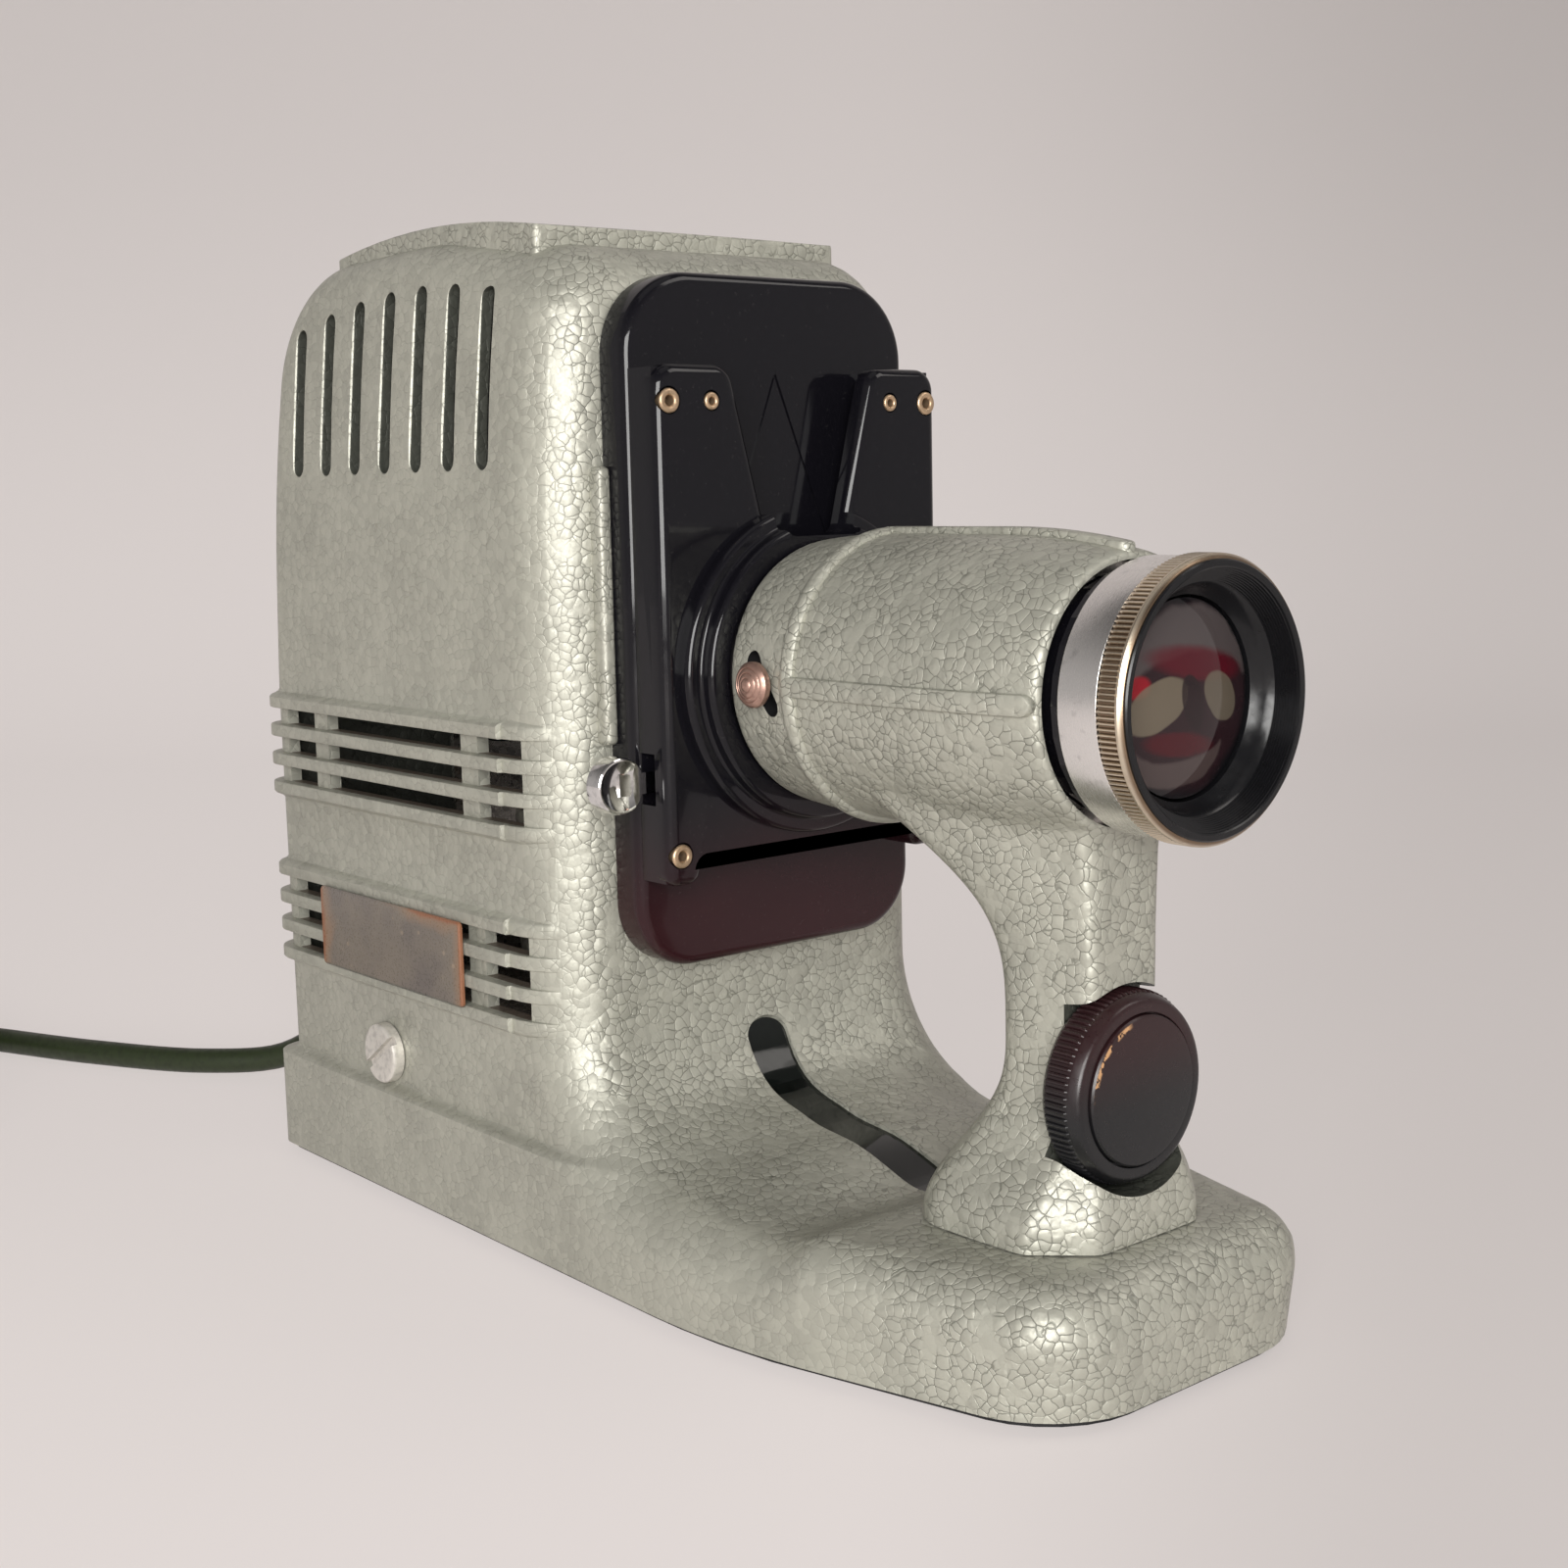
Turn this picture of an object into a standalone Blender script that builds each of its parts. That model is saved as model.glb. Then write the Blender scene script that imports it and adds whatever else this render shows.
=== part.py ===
"""Table slide projector: louvred lamp housing and base in one casting, moulded slide stage,
focusing lens on an arched stand, and a rack foot that a knob lowers to tilt the beam.

Frame: +Z up, -Y toward the screen, +X to the right as seen from the screen. Inside the
script, y is measured from the front face of the slide stage and z from the lower edge of
the casting; the root empty carries both into the frame of the part, whose origin lies on
the table under the middle of the projector.
"""

import math

import bmesh
import bpy
from mathutils import Matrix, Vector

mm = 0.001

# fits
fit_gap = 0.3 * mm
overrun = 2.0 * mm
arc_step = math.radians(15.0)
hollow_step = math.radians(30.0)
small_radius = 6.0 * mm
round_steps = 28
tube_steps = 40
sharp_angle = math.radians(32.0)

# how the casting's form is divided
lean_shares = (0.0, 0.3, 0.55, 0.78, 0.92)
taper_shares = (-2.4, -1.2, -0.5, 0.1, 0.6, 1.0)
fade_shares = (0.25, 0.6, 1.0)
hollow_taper_shares = (-1.0, -0.1, 0.8)
hollow_fade_shares = (0.6,)
dome_shares = (0.0, 0.25, 0.5, 0.75, 1.0)

# casting
wall = 3.0 * mm
housing_half_width = 55.0 * mm
housing_front = 9.2 * mm
rear_y = 141.2 * mm
rear_corner_y = 134.0 * mm
rear_corner_radius = 30.0 * mm
crown_y = 70.0 * mm
crown_z = 228.6 * mm
rear_bend_z = crown_z - 106.6 * mm
rear_corner_z = crown_z - 2.1 * mm
crown_radius = 200.0 * mm
brow_z = crown_z - 4.0 * mm
brow_radius = 16.0 * mm
swoop_radius = 33.0 * mm
swoop_fall_share = 0.10
valley_y = -52.0 * mm
valley_z = 20.6 * mm
valley_radius = 30.0 * mm
toe_rise_y = -63.0 * mm
toe_rise_radius = 14.0 * mm
toe_z = 24.7 * mm
toe_front = -121.8 * mm
toe_radius = 13.0 * mm
rear_edge = 6.0 * mm
top_edge = 6.5 * mm
brow_edge = 12.0 * mm
front_edge = 17.0 * mm
valley_edge = 14.0 * mm
toe_edge = 11.0 * mm
toe_corner_edge = 18.0 * mm
edge_rings = 5
hollow_rings = 3
skirt = 3.2 * mm
crease_z = 24.9 * mm
crease_rise = 1.9 * mm
skirt_fade_start = 24.0 * mm
skirt_fade_end = -10.0 * mm
taper_y = -45.3 * mm
taper_blend = 23.0 * mm
taper_slope = 0.275
lean_z = crown_z - 78.6 * mm
lean_span = 66.0 * mm
lean_in = 4.5 * mm

# louvres and slots in the casting
louvre_bands = (50.7 * mm, 94.7 * mm)
louvre_count = 4
louvre_rib = 3.2 * mm
louvre_gap = 4.25 * mm
louvre_proud = 2.6 * mm
louvre_shallow = 1.5 * mm
louvre_step_y = 23.7 * mm
louvre_root = 1.4 * mm
louvre_fade = 5.0 * mm
louvre_spans = ((23.0 * mm, 40.7 * mm), (47.8 * mm, 111.3 * mm), (118.0 * mm, 132.6 * mm))
vent_count = 7
vent_pitch = 14.3 * mm
vent_width = 5.4 * mm
vent_first_y = 35.3 * mm
vent_bottom = crown_z - 52.6 * mm
vent_top = crown_z - 10.6 * mm
vent_top_y = 68.0 * mm
vent_top_fall = 3.9 * mm
swoop_slot_width = 12.0 * mm
swoop_slot_top = 46.9 * mm
swoop_slot_end = -58.0 * mm
swoop_slot_steps = 6
swoop_cut_low = 15.0 * mm
swoop_cut_high = 66.0 * mm

# top cover
cover_half_width = 43.2 * mm
cover_front = 27.0 * mm
cover_rear = 112.0 * mm
cover_thick = 4.0 * mm
cover_corner = 8.0 * mm
cover_slot_count = 6
cover_slot_pitch = 12.2 * mm
cover_slot_width = 4.6 * mm
cover_slot_margin = 12.0 * mm
top_opening_margin = 7.0 * mm

# sole and feet
sole_inset = 1.6 * mm
sole_thick = 1.0 * mm
pad_height = 1.2 * mm
pad_radius = 7.0 * mm
pad_rear_x = housing_half_width - 11.0 * mm
pad_rear_y = 126.0 * mm
pad_front_x = housing_half_width - 28.0 * mm
pad_front_y = -62.0 * mm
sole_vent_count = 4

# optical axis and lens
tube_radius = 30.2 * mm
tube_bore = tube_radius - 4.7 * mm
sleeve_radius = tube_bore - fit_gap
axis_share = 0.5713036
axis_z = crown_z * axis_share
lens_front = -124.8 * mm
hood_radius = tube_radius - 4.1 * mm
hood_mouth = hood_radius - 1.9 * mm
hood_lip = 0.9 * mm
hood_throat = hood_radius - 6.9 * mm
hood_depth = 8.0 * mm
hood_flange = 12.0 * mm
knurl_front = -123.4 * mm
knurl_rear = -118.5 * mm
knurl_radius = hood_radius + 0.8 * mm
knurl_tooth_count = 18
knurl_depth = 0.5 * mm
band_rear = -109.0 * mm
band_radius = hood_radius + 0.2 * mm
ring_bore = hood_radius - 1.5 * mm
barrel_radius = sleeve_radius - 2.6 * mm
barrel_bore = barrel_radius - 2.2 * mm
barrel_rear = -62.0 * mm
barrel_collar_radius = sleeve_radius
barrel_collar = 2.2 * mm
front_glass_radius = hood_throat - 0.6 * mm
front_glass_thick = 6.0 * mm
front_glass_bulge = 2.6 * mm
front_glass_inset = 8.6 * mm
rear_glass_thick = 5.0 * mm
rear_glass_bulge = 1.8 * mm
rear_glass_y = -72.0 * mm
retainer_thick = 3.0 * mm
retainer_bore = front_glass_radius - 1.1 * mm
sleeve_bore = barrel_radius + fit_gap
sleeve_front = -100.0 * mm
sleeve_rear = -24.0 * mm
groove_width = 4.0 * mm
groove_depth = 1.3 * mm

# focusing pin
focus_pin_y = -30.0 * mm
focus_slot_half = 7.6 * mm
focus_slot_lean = math.radians(33.0)
focus_slot_width = 3.6 * mm
focus_shaft = 1.5 * mm
focus_head = 4.8 * mm
focus_head_thick = 4.0 * mm

# tube and stand
tube_rear = -17.8 * mm
tube_front = -105.5 * mm
tube_rear_radius = tube_radius - 1.6 * mm
tube_mid_y = -39.0 * mm
tube_belly_y = -72.0 * mm
tube_front_radius = tube_radius - 3.0 * mm
tube_lip = 1.4 * mm
tube_ring_width = 4.0 * mm
tube_ring_proud = 1.4 * mm
tube_rib_width = 3.6 * mm
tube_rib_proud = 1.1 * mm
tube_rib_front = -107.0 * mm
foot_front = -109.0 * mm
foot_rear = -66.0 * mm
foot_half_width = 26.0 * mm
foot_lip = 2.2 * mm
column_front = -103.0 * mm
column_rear = -79.5 * mm
column_front_half = 9.0 * mm
column_rear_half = 13.5 * mm
column_join_z = axis_z - 11.6 * mm
column_level_count = 10
column_nose = 1.6 * mm
belly_share = 0.72
front_share = 0.78
head_share = 0.80
chamfer_share = 0.22
flare_power = 1.7
rear_power = 1.35
head_power = 2.2
rear_taper_power = 1.6

# knob, pinion and rack
knob_share = 0.4134763
knob_z = axis_z * knob_share
column_mid_z = knob_z + 8.0 * mm
knob_radius = 19.3 * mm
knob_front = -106.6 * mm
knob_rear = -97.0 * mm
knob_chamfer = 1.6 * mm
knob_flute_count = 20
knob_flute_depth = 0.5 * mm
cap_radius = 14.9 * mm
cap_proud = 0.8 * mm
cap_depth = 1.6 * mm
recess_clearance = 1.6 * mm
shaft_radius = 3.0 * mm
shaft_rear = -82.0 * mm
bush_radius = 5.0 * mm
bush_front = -96.4 * mm
bush_rear = -94.4 * mm
gear_module = 0.75 * mm
gear_tooth_count = 12
gear_front = -92.8 * mm
gear_rear = -87.2 * mm
rack_thick = 4.6 * mm
rack_half_depth = 3.4 * mm
rack_y = -90.0 * mm
rack_top = knob_z + 32.0 * mm
rack_tooth_count = 14
rack_below_count = 2
tooth_play = 0.25 * mm
lift_pad_radius = 9.0 * mm

# slide stage
stage_half_width = 40.2 * mm
stage_top = crown_z - 11.6 * mm
stage_bottom = axis_z - 65.0 * mm
stage_top_corner = 18.0 * mm
stage_bottom_corner = 15.0 * mm
stage_front = 0.0 * mm
stage_face_edge = 2.2 * mm
plate_front = -10.9 * mm
plate_rear = -6.4 * mm
plate_bottom = axis_z - 40.1 * mm
plate_top = axis_z + 66.2 * mm
plate_corner = 5.0 * mm
plate_tab_drop = 4.2 * mm
plate_tab_width = 9.0 * mm
tab_corner = 2.4 * mm
plate_edge = 2.2 * mm
channel_half = 26.2 * mm
beam_radius = 23.5 * mm
notch_top_half = 20.0 * mm
notch_low_half = 10.5 * mm
notch_low_z = axis_z + 29.7 * mm
notch_ease = 0.1 * mm
collar_outer = 36.3 * mm
collar_inner = 32.8 * mm
collar_step = -14.0 * mm
collar_front = -17.4 * mm
collar_bore = 28.2 * mm
collar_edge = 1.2 * mm
rest_inner = 14.0 * mm
eyelet_radius = 2.6 * mm
eyelet_small = 1.9 * mm
eyelet_bore_share = 0.55
eyelet_stem_share = 0.7
eyelet_proud = 0.7 * mm
eyelet_depth = 3.0 * mm
eyelet_x = 36.9 * mm
eyelet_small_x = 25.7 * mm
eyelet_top_z = axis_z + 58.5 * mm
eyelet_low_z = axis_z - 37.6 * mm
wall_relief = 0.6 * mm
slide_width = 50.0 * mm
spring_thick = 0.4 * mm
spring_width = 7.0 * mm
spring_bow = 2.0 * mm

# eject lever
lever_axis_x = -30.6 * mm
lever_axis_z = axis_z - 28.0 * mm
lever_y = -3.2 * mm
lever_half_depth = 1.5 * mm
lever_half_height = 1.5 * mm
lever_tip_x = 8.0 * mm
lever_eye = 3.2 * mm
lever_pin_radius = 1.2 * mm
lever_pad_x = -48.3 * mm
lever_pad_z = lever_axis_z + 6.2 * mm
lever_pad_flat = -44.9 * mm
lever_pad_radius = 6.2 * mm
lever_pad_half_depth = 2.3 * mm
lever_pad_rim = 0.7 * mm
lever_dish = 1.4 * mm
lever_arm_half = 2.3 * mm
lever_bend_x = -37.0 * mm
lever_window_low = lever_axis_z + 1.0 * mm
lever_window_high = lever_axis_z + 12.2 * mm
lever_room_depth = 10.2 * mm
lever_clear = 6.4 * mm
lever_room = 34.0 * mm
pin_seat = 2.0 * mm

# fastenings and trim
coin_y = 87.4 * mm
coin_z = 34.4 * mm
coin_radius = 7.4 * mm
coin_head = 3.0 * mm
coin_slot_width = 2.2 * mm
coin_slot_depth = 1.5 * mm
coin_shank = 3.0 * mm
coin_shank_length = 8.0 * mm
window_y = (45.9 * mm, 112.7 * mm)
window_z = (53.3 * mm, 73.5 * mm)
window_thick = 0.9 * mm
liner_thick = 1.6 * mm
liner_margin = 3.0 * mm
liner_top = 62.0 * mm
bolt_radius = 2.5 * mm
bolt_head_radius = 4.5 * mm
bolt_head = 3.0 * mm
bolt_depth = 8.0 * mm
bolt_y = -76.0 * mm

# condenser and lamp
condenser_radius = 26.5 * mm
condenser_bore = 24.3 * mm
condenser_length = 36.0 * mm
condenser_lip = 2.0 * mm
lens_radius = 24.0 * mm
lens_thick = 8.0 * mm
lens_edge = 2.2 * mm
heat_thick = 2.5 * mm
spacer = 3.4 * mm
lamp_y = 86.0 * mm
bulb_radius = 16.0 * mm
bulb_neck = 9.0 * mm
bulb_top = axis_z + 27.4 * mm
bulb_low_share = 0.735069
bulb_low = axis_z * bulb_low_share
cap_lamp_radius = 10.0 * mm
cap_lamp_low = bulb_low - 22.0 * mm
holder_radius = 14.0 * mm
holder_low = cap_lamp_low - 22.0 * mm
holder_wall = 3.0 * mm
chassis_thick = 1.5 * mm
chassis_z = 30.0 * mm
chassis_front = 60.0 * mm
chassis_rear = 124.0 * mm
chassis_flange_top = 44.0 * mm
chassis_post_half = 12.0 * mm
chassis_post_top = axis_z + 19.4 * mm
chassis_flange = 3.0 * mm
chassis_low = 27.0 * mm
stand_off_radius = 6.0 * mm
reflector_radius = 26.0 * mm
reflector_depth = 8.0 * mm
reflector_thick = 1.2 * mm
baffle_thick = 1.0 * mm
baffle_low = crown_z - 60.6 * mm
baffle_high = crown_z - 19.6 * mm
baffle_in = 7.0 * mm
baffle_front = 30.0 * mm
baffle_rear = 123.0 * mm

# mains lead
cord_diameter = 7.5 * mm
gland_x = -15.0 * mm
gland_z = 17.0 * mm
gland_length = 26.0 * mm
gland_root_radius = 7.0 * mm
gland_tip_radius = 4.9 * mm
gland_flange_radius = 9.0 * mm
gland_flange = 2.5 * mm
gland_rib_count = 3
gland_rib_depth = 0.7 * mm
coil_mean = 43.2 * mm
coil_pitch = 8.8 * mm
coil_layer_rise = 8.6 * mm
coil_turn_count = 3
coil_step_count = 24
coil_start_angle = math.radians(30.0)
coil_left = 131.0 * mm
coil_back = 129.0 * mm
way_steps = 20
# places on the way to the coil: left of the strain relief's end, behind it, above the cord at rest
way_left = (3.0 * mm, 11.0 * mm, 26.0 * mm, 46.0 * mm, 63.0 * mm)
way_back = (17.0 * mm, 32.0 * mm, 52.0 * mm, 86.0 * mm, 124.0 * mm)
way_above = (11.05 * mm, 2.75 * mm, 0.2 * mm, 0.0 * mm, 0.0 * mm)
tail_length = 38.0 * mm
tie_thick = 1.0 * mm
tie_width = 9.0 * mm
tie_turn = math.radians(250.0)
plug_length = 46.0 * mm
plug_half_width = 19.0 * mm
plug_corner = 5.8 * mm
pin_radius = 2.4 * mm
pin_length = 19.0 * mm
pin_pitch = 19.0 * mm

# places that follow from the sizes above
lift = fit_gap + sole_thick + fit_gap + pad_height
rear_skirt_y = rear_y + skirt
middle_y = (rear_skirt_y + lens_front) / 2
floor = -lift
stage_rear_face = housing_front - fit_gap
pitch_radius = gear_module * gear_tooth_count / 2
tooth_pitch = gear_module * math.pi
rack_left = pitch_radius - gear_module
rack_right = pitch_radius + rack_thick
rack_middle = (rack_left + rack_right) / 2
cord_radius = cord_diameter / 2
gland_end = rear_skirt_y + fit_gap * 2 + gland_flange * 2 + gland_length
coil_centre = (gland_x - coil_left, gland_end + coil_back)
coil_z = floor + tie_thick + fit_gap * 2 + cord_radius
coil_outer = coil_mean + coil_pitch * coil_turn_count / 2

# looks: colour, roughness, metal
paint_look = ((0.42, 0.44, 0.38), 0.35, 0.3)
black_look = ((0.012, 0.010, 0.011), 0.12, 0.0)
matt_look = ((0.02, 0.02, 0.02), 0.6, 0.0)
steel_look = ((0.55, 0.55, 0.53), 0.3, 1.0)
bright_look = ((0.75, 0.75, 0.73), 0.15, 1.0)
brass_look = ((0.62, 0.47, 0.22), 0.35, 1.0)
copper_look = ((0.60, 0.34, 0.24), 0.35, 1.0)
champagne_look = ((0.72, 0.62, 0.45), 0.3, 1.0)
rubber_look = ((0.03, 0.03, 0.03), 0.8, 0.0)
glass_look = ((0.75, 0.8, 0.8), 0.03, 0.0)
cord_look = ((0.02, 0.05, 0.025), 0.5, 0.0)
window_look = ((0.30, 0.20, 0.12), 0.3, 0.0)
ceramic_look = ((0.75, 0.72, 0.66), 0.4, 0.0)


def clearScene():
    for item in list(bpy.data.objects):
        bpy.data.objects.remove(item, do_unlink=True)


def material(name, colour, roughness, metallic=0.0):
    made = bpy.data.materials.new(name)
    made.use_nodes = True
    shader = made.node_tree.nodes["Principled BSDF"]
    shader.inputs["Base Color"].default_value = (*colour, 1.0)
    shader.inputs["Roughness"].default_value = roughness
    shader.inputs["Metallic"].default_value = metallic
    return made


# helpers

def at(x, y, z):
    return Vector((x, y, z))


def finish(name, shape, look, origin=(0.0, 0.0, 0.0), smooth=True):
    """Make an object of the shape, with its own origin, under the root empty."""
    base = Vector(origin)
    bmesh.ops.recalc_face_normals(shape, faces=shape.faces)
    bmesh.ops.translate(shape, verts=shape.verts, vec=-base)
    mesh = bpy.data.meshes.new(name)
    shape.to_mesh(mesh)
    shape.free()
    made = bpy.data.objects.new(name, mesh)
    bpy.context.scene.collection.objects.link(made)
    made.parent = root
    made.location = base
    if look is not None:
        mesh.materials.append(material(name, *look))
    if smooth:
        mesh.shade_smooth()
        mesh.set_sharp_from_angle(angle=sharp_angle)
    return made


def modify(target, tool_shape, operation, label):
    """Cut, join or trim the target by a hidden tool shape."""
    tool = finish(label, tool_shape, None, smooth=False)
    tool.hide_render = True
    tool.display_type = "WIRE"
    step = target.modifiers.new(label, "BOOLEAN")
    step.operation = operation
    step.solver = "EXACT"
    step.object = tool
    return tool


def merge(*shapes):
    """Put several loose shapes into one."""
    whole = bmesh.new()
    for shape in shapes:
        scratch = bpy.data.meshes.new("scratch")
        shape.to_mesh(scratch)
        shape.free()
        whole.from_mesh(scratch)
        bpy.data.meshes.remove(scratch)
    bmesh.ops.recalc_face_normals(whole, faces=whole.faces)
    return whole


def prism(outline, axis, low, high):
    """Extrude an outline along an axis. The outline's pairs are the other two axes in order."""
    shape = bmesh.new()

    def corner(pair, along):
        a, b = pair
        if axis == "x":
            return at(along, a, b)
        if axis == "y":
            return at(a, along, b)
        return at(a, b, along)

    first = [shape.verts.new(corner(pair, low)) for pair in outline]
    last = [shape.verts.new(corner(pair, high)) for pair in outline]
    shape.faces.new(first)
    shape.faces.new(list(reversed(last)))
    for index in range(len(outline)):
        after = (index + 1) % len(outline)
        shape.faces.new((first[index], last[index], last[after], first[after]))
    bmesh.ops.recalc_face_normals(shape, faces=shape.faces)
    return shape


def box(x, y, z):
    """A block from three (low, high) pairs."""
    return prism([(x[0], y[0]), (x[1], y[0]), (x[1], y[1]), (x[0], y[1])], "z", z[0], z[1])


def rounded(corners, arc=arc_step):
    """Points of an outline whose corners are (a, b, radius); open at both ends."""
    points = []
    for index, (a, b, radius) in enumerate(corners):
        here = Vector((a, b))
        if radius <= 0 or index in (0, len(corners) - 1):
            points.append(here)
            continue
        back = Vector(corners[index - 1][:2]) - here
        ahead = Vector(corners[index + 1][:2]) - here
        back.normalize()
        ahead.normalize()
        half = back.angle(ahead) / 2
        reach = radius / math.tan(half)
        centre = here + (back + ahead).normalized() * (radius / math.sin(half))
        start = here + back * reach - centre
        sweep = start.angle_signed(here + ahead * reach - centre)
        coarse = 2 if radius < small_radius else 1
        steps = max(2, math.ceil(abs(sweep) / (arc * coarse) - 0.01))
        for step in range(steps + 1):
            turn = -sweep * step / steps
            cosine, sine = math.cos(turn), math.sin(turn)
            points.append(centre + Vector((start.x * cosine - start.y * sine,
                                           start.x * sine + start.y * cosine)))
    return points


def loop(corners):
    """A closed outline with rounded corners."""
    count = len(corners)
    points = []
    for index in range(count):
        trio = [corners[index - 1], corners[index], corners[(index + 1) % count]]
        points.extend(rounded(trio)[1:-1])
    return [(point.x, point.y) for point in points]


def circle(centre, radius, steps=round_steps):
    turns = (2 * math.pi * step / steps for step in range(steps))
    return [(centre[0] + radius * math.cos(turn), centre[1] + radius * math.sin(turn)) for turn in turns]


def lathe(profile, axis="y", centre=(0.0, 0.0), steps=round_steps, ripple=None, capped=False):
    """Turn a profile of (radius, along) pairs round an axis line.

    It closes on itself, or on the axis, or with flat ends if capped.
    ripple gives, for a profile point and a step, how far that point is drawn in.
    """
    shape = bmesh.new()
    rings = []
    for number, (radius, along) in enumerate(profile):
        spots = []
        for step in range(steps if radius > 0 else 1):
            turn = 2 * math.pi * step / steps
            reach = radius - (ripple(number, step) if ripple else 0)
            a, b = centre[0] + reach * math.cos(turn), centre[1] + reach * math.sin(turn)
            place = {"x": at(along, a, b), "y": at(a, along, b), "z": at(a, b, along)}[axis]
            spots.append(shape.verts.new(place))
        rings.append(spots)
    closed = all(radius > 0 for radius, along in profile) and not capped
    if capped:
        shape.faces.new(rings[0])
        shape.faces.new(rings[-1])
    for number in range(len(rings) if closed else len(rings) - 1):
        one, two = rings[number], rings[(number + 1) % len(rings)]
        for step in range(steps):
            after = (step + 1) % steps
            if len(one) == 1 and len(two) == 1:
                continue
            if len(one) == 1:
                shape.faces.new((one[0], two[step], two[after]))
            elif len(two) == 1:
                shape.faces.new((one[step], two[0], one[after]))
            else:
                shape.faces.new((one[step], two[step], two[after], one[after]))
    bmesh.ops.recalc_face_normals(shape, faces=shape.faces)
    return shape


def stretch(outline, inset):
    """Move an open outline's points by inset to its left-hand side."""
    moved = []
    for index, point in enumerate(outline):
        before = outline[max(index - 1, 0)]
        after = outline[min(index + 1, len(outline) - 1)]
        run = (after - before).normalized()
        moved.append(point + Vector((-run.y, run.x)) * inset)
    return moved


def blend(value, low, high):
    """0 at low, 1 at high, smooth between."""
    share = min(max((value - low) / (high - low), 0.0), 1.0)
    return share * share * (3 - 2 * share)


def arcLengths(outline):
    total = [0.0]
    for before, after in zip(outline, outline[1:]):
        total.append(total[-1] + (after - before).length)
    return total


# casting

def castingHalf(y, z):
    """Half width of the casting's side at a place, before the edge is rounded."""
    fade = blend(y, skirt_fade_end, skirt_fade_start)
    step = skirt * fade * min(max((z - crease_z) / crease_rise, 0.0), 1.0)
    lean = lean_in * (max(z - lean_z, 0.0) / lean_span) ** 2
    ahead = taper_y + taper_blend - y
    drop = 0.0
    if ahead > 2 * taper_blend:
        drop = taper_slope * (taper_y - y)
    elif ahead > 0:
        drop = taper_slope * ahead * ahead / (4 * taper_blend)
    return housing_half_width + skirt - step - lean - drop


def castingRear(y, z):
    """The skirt stands out at the rear as it does at the sides."""
    swell = 1.0 - min(max((z - crease_z) / crease_rise, 0.0), 1.0)
    if y <= crown_y:
        return y
    return y + swell * skirt * (y - crown_y) / (rear_y - crown_y)


def castingCorners():
    return [
        (rear_y, 0.0, 0.0, rear_edge),
        (rear_y, rear_bend_z, crown_radius, rear_edge),
        (rear_corner_y, rear_corner_z, rear_corner_radius, top_edge),
        (crown_y, crown_z, crown_radius, top_edge),
        (housing_front, brow_z, brow_radius, brow_edge),
        (housing_front, axis_z, 0.0, front_edge),
        (housing_front, valley_z + (housing_front - valley_y) * swoop_fall_share, swoop_radius, front_edge),
        (valley_y, valley_z, valley_radius, valley_edge),
        (toe_rise_y, toe_z, toe_rise_radius, toe_edge),
        (toe_front, toe_z, toe_radius, toe_edge),
        (toe_front, 0.0, 0.0, toe_corner_edge),
    ]


def castingOutline(arc=arc_step):
    """Side view of the casting, rear edge to front edge, with the radius of its side edge."""
    corners = castingCorners()
    outline = rounded([corner[:3] for corner in corners], arc)
    run = arcLengths(outline)
    keys = []
    for a, b, radius, edge in corners:
        gaps = [(point - Vector((a, b))).length for point in outline]
        keys.append((run[gaps.index(min(gaps))], edge))
    edges = []
    for place in run:
        for (low, first), (high, last) in zip(keys, keys[1:]):
            if place <= high + fit_gap:
                share = (place - low) / max(high - low, fit_gap)
                edges.append(first + (last - first) * min(max(share, 0.0), 1.0))
                break
    return outline, edges


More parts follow.
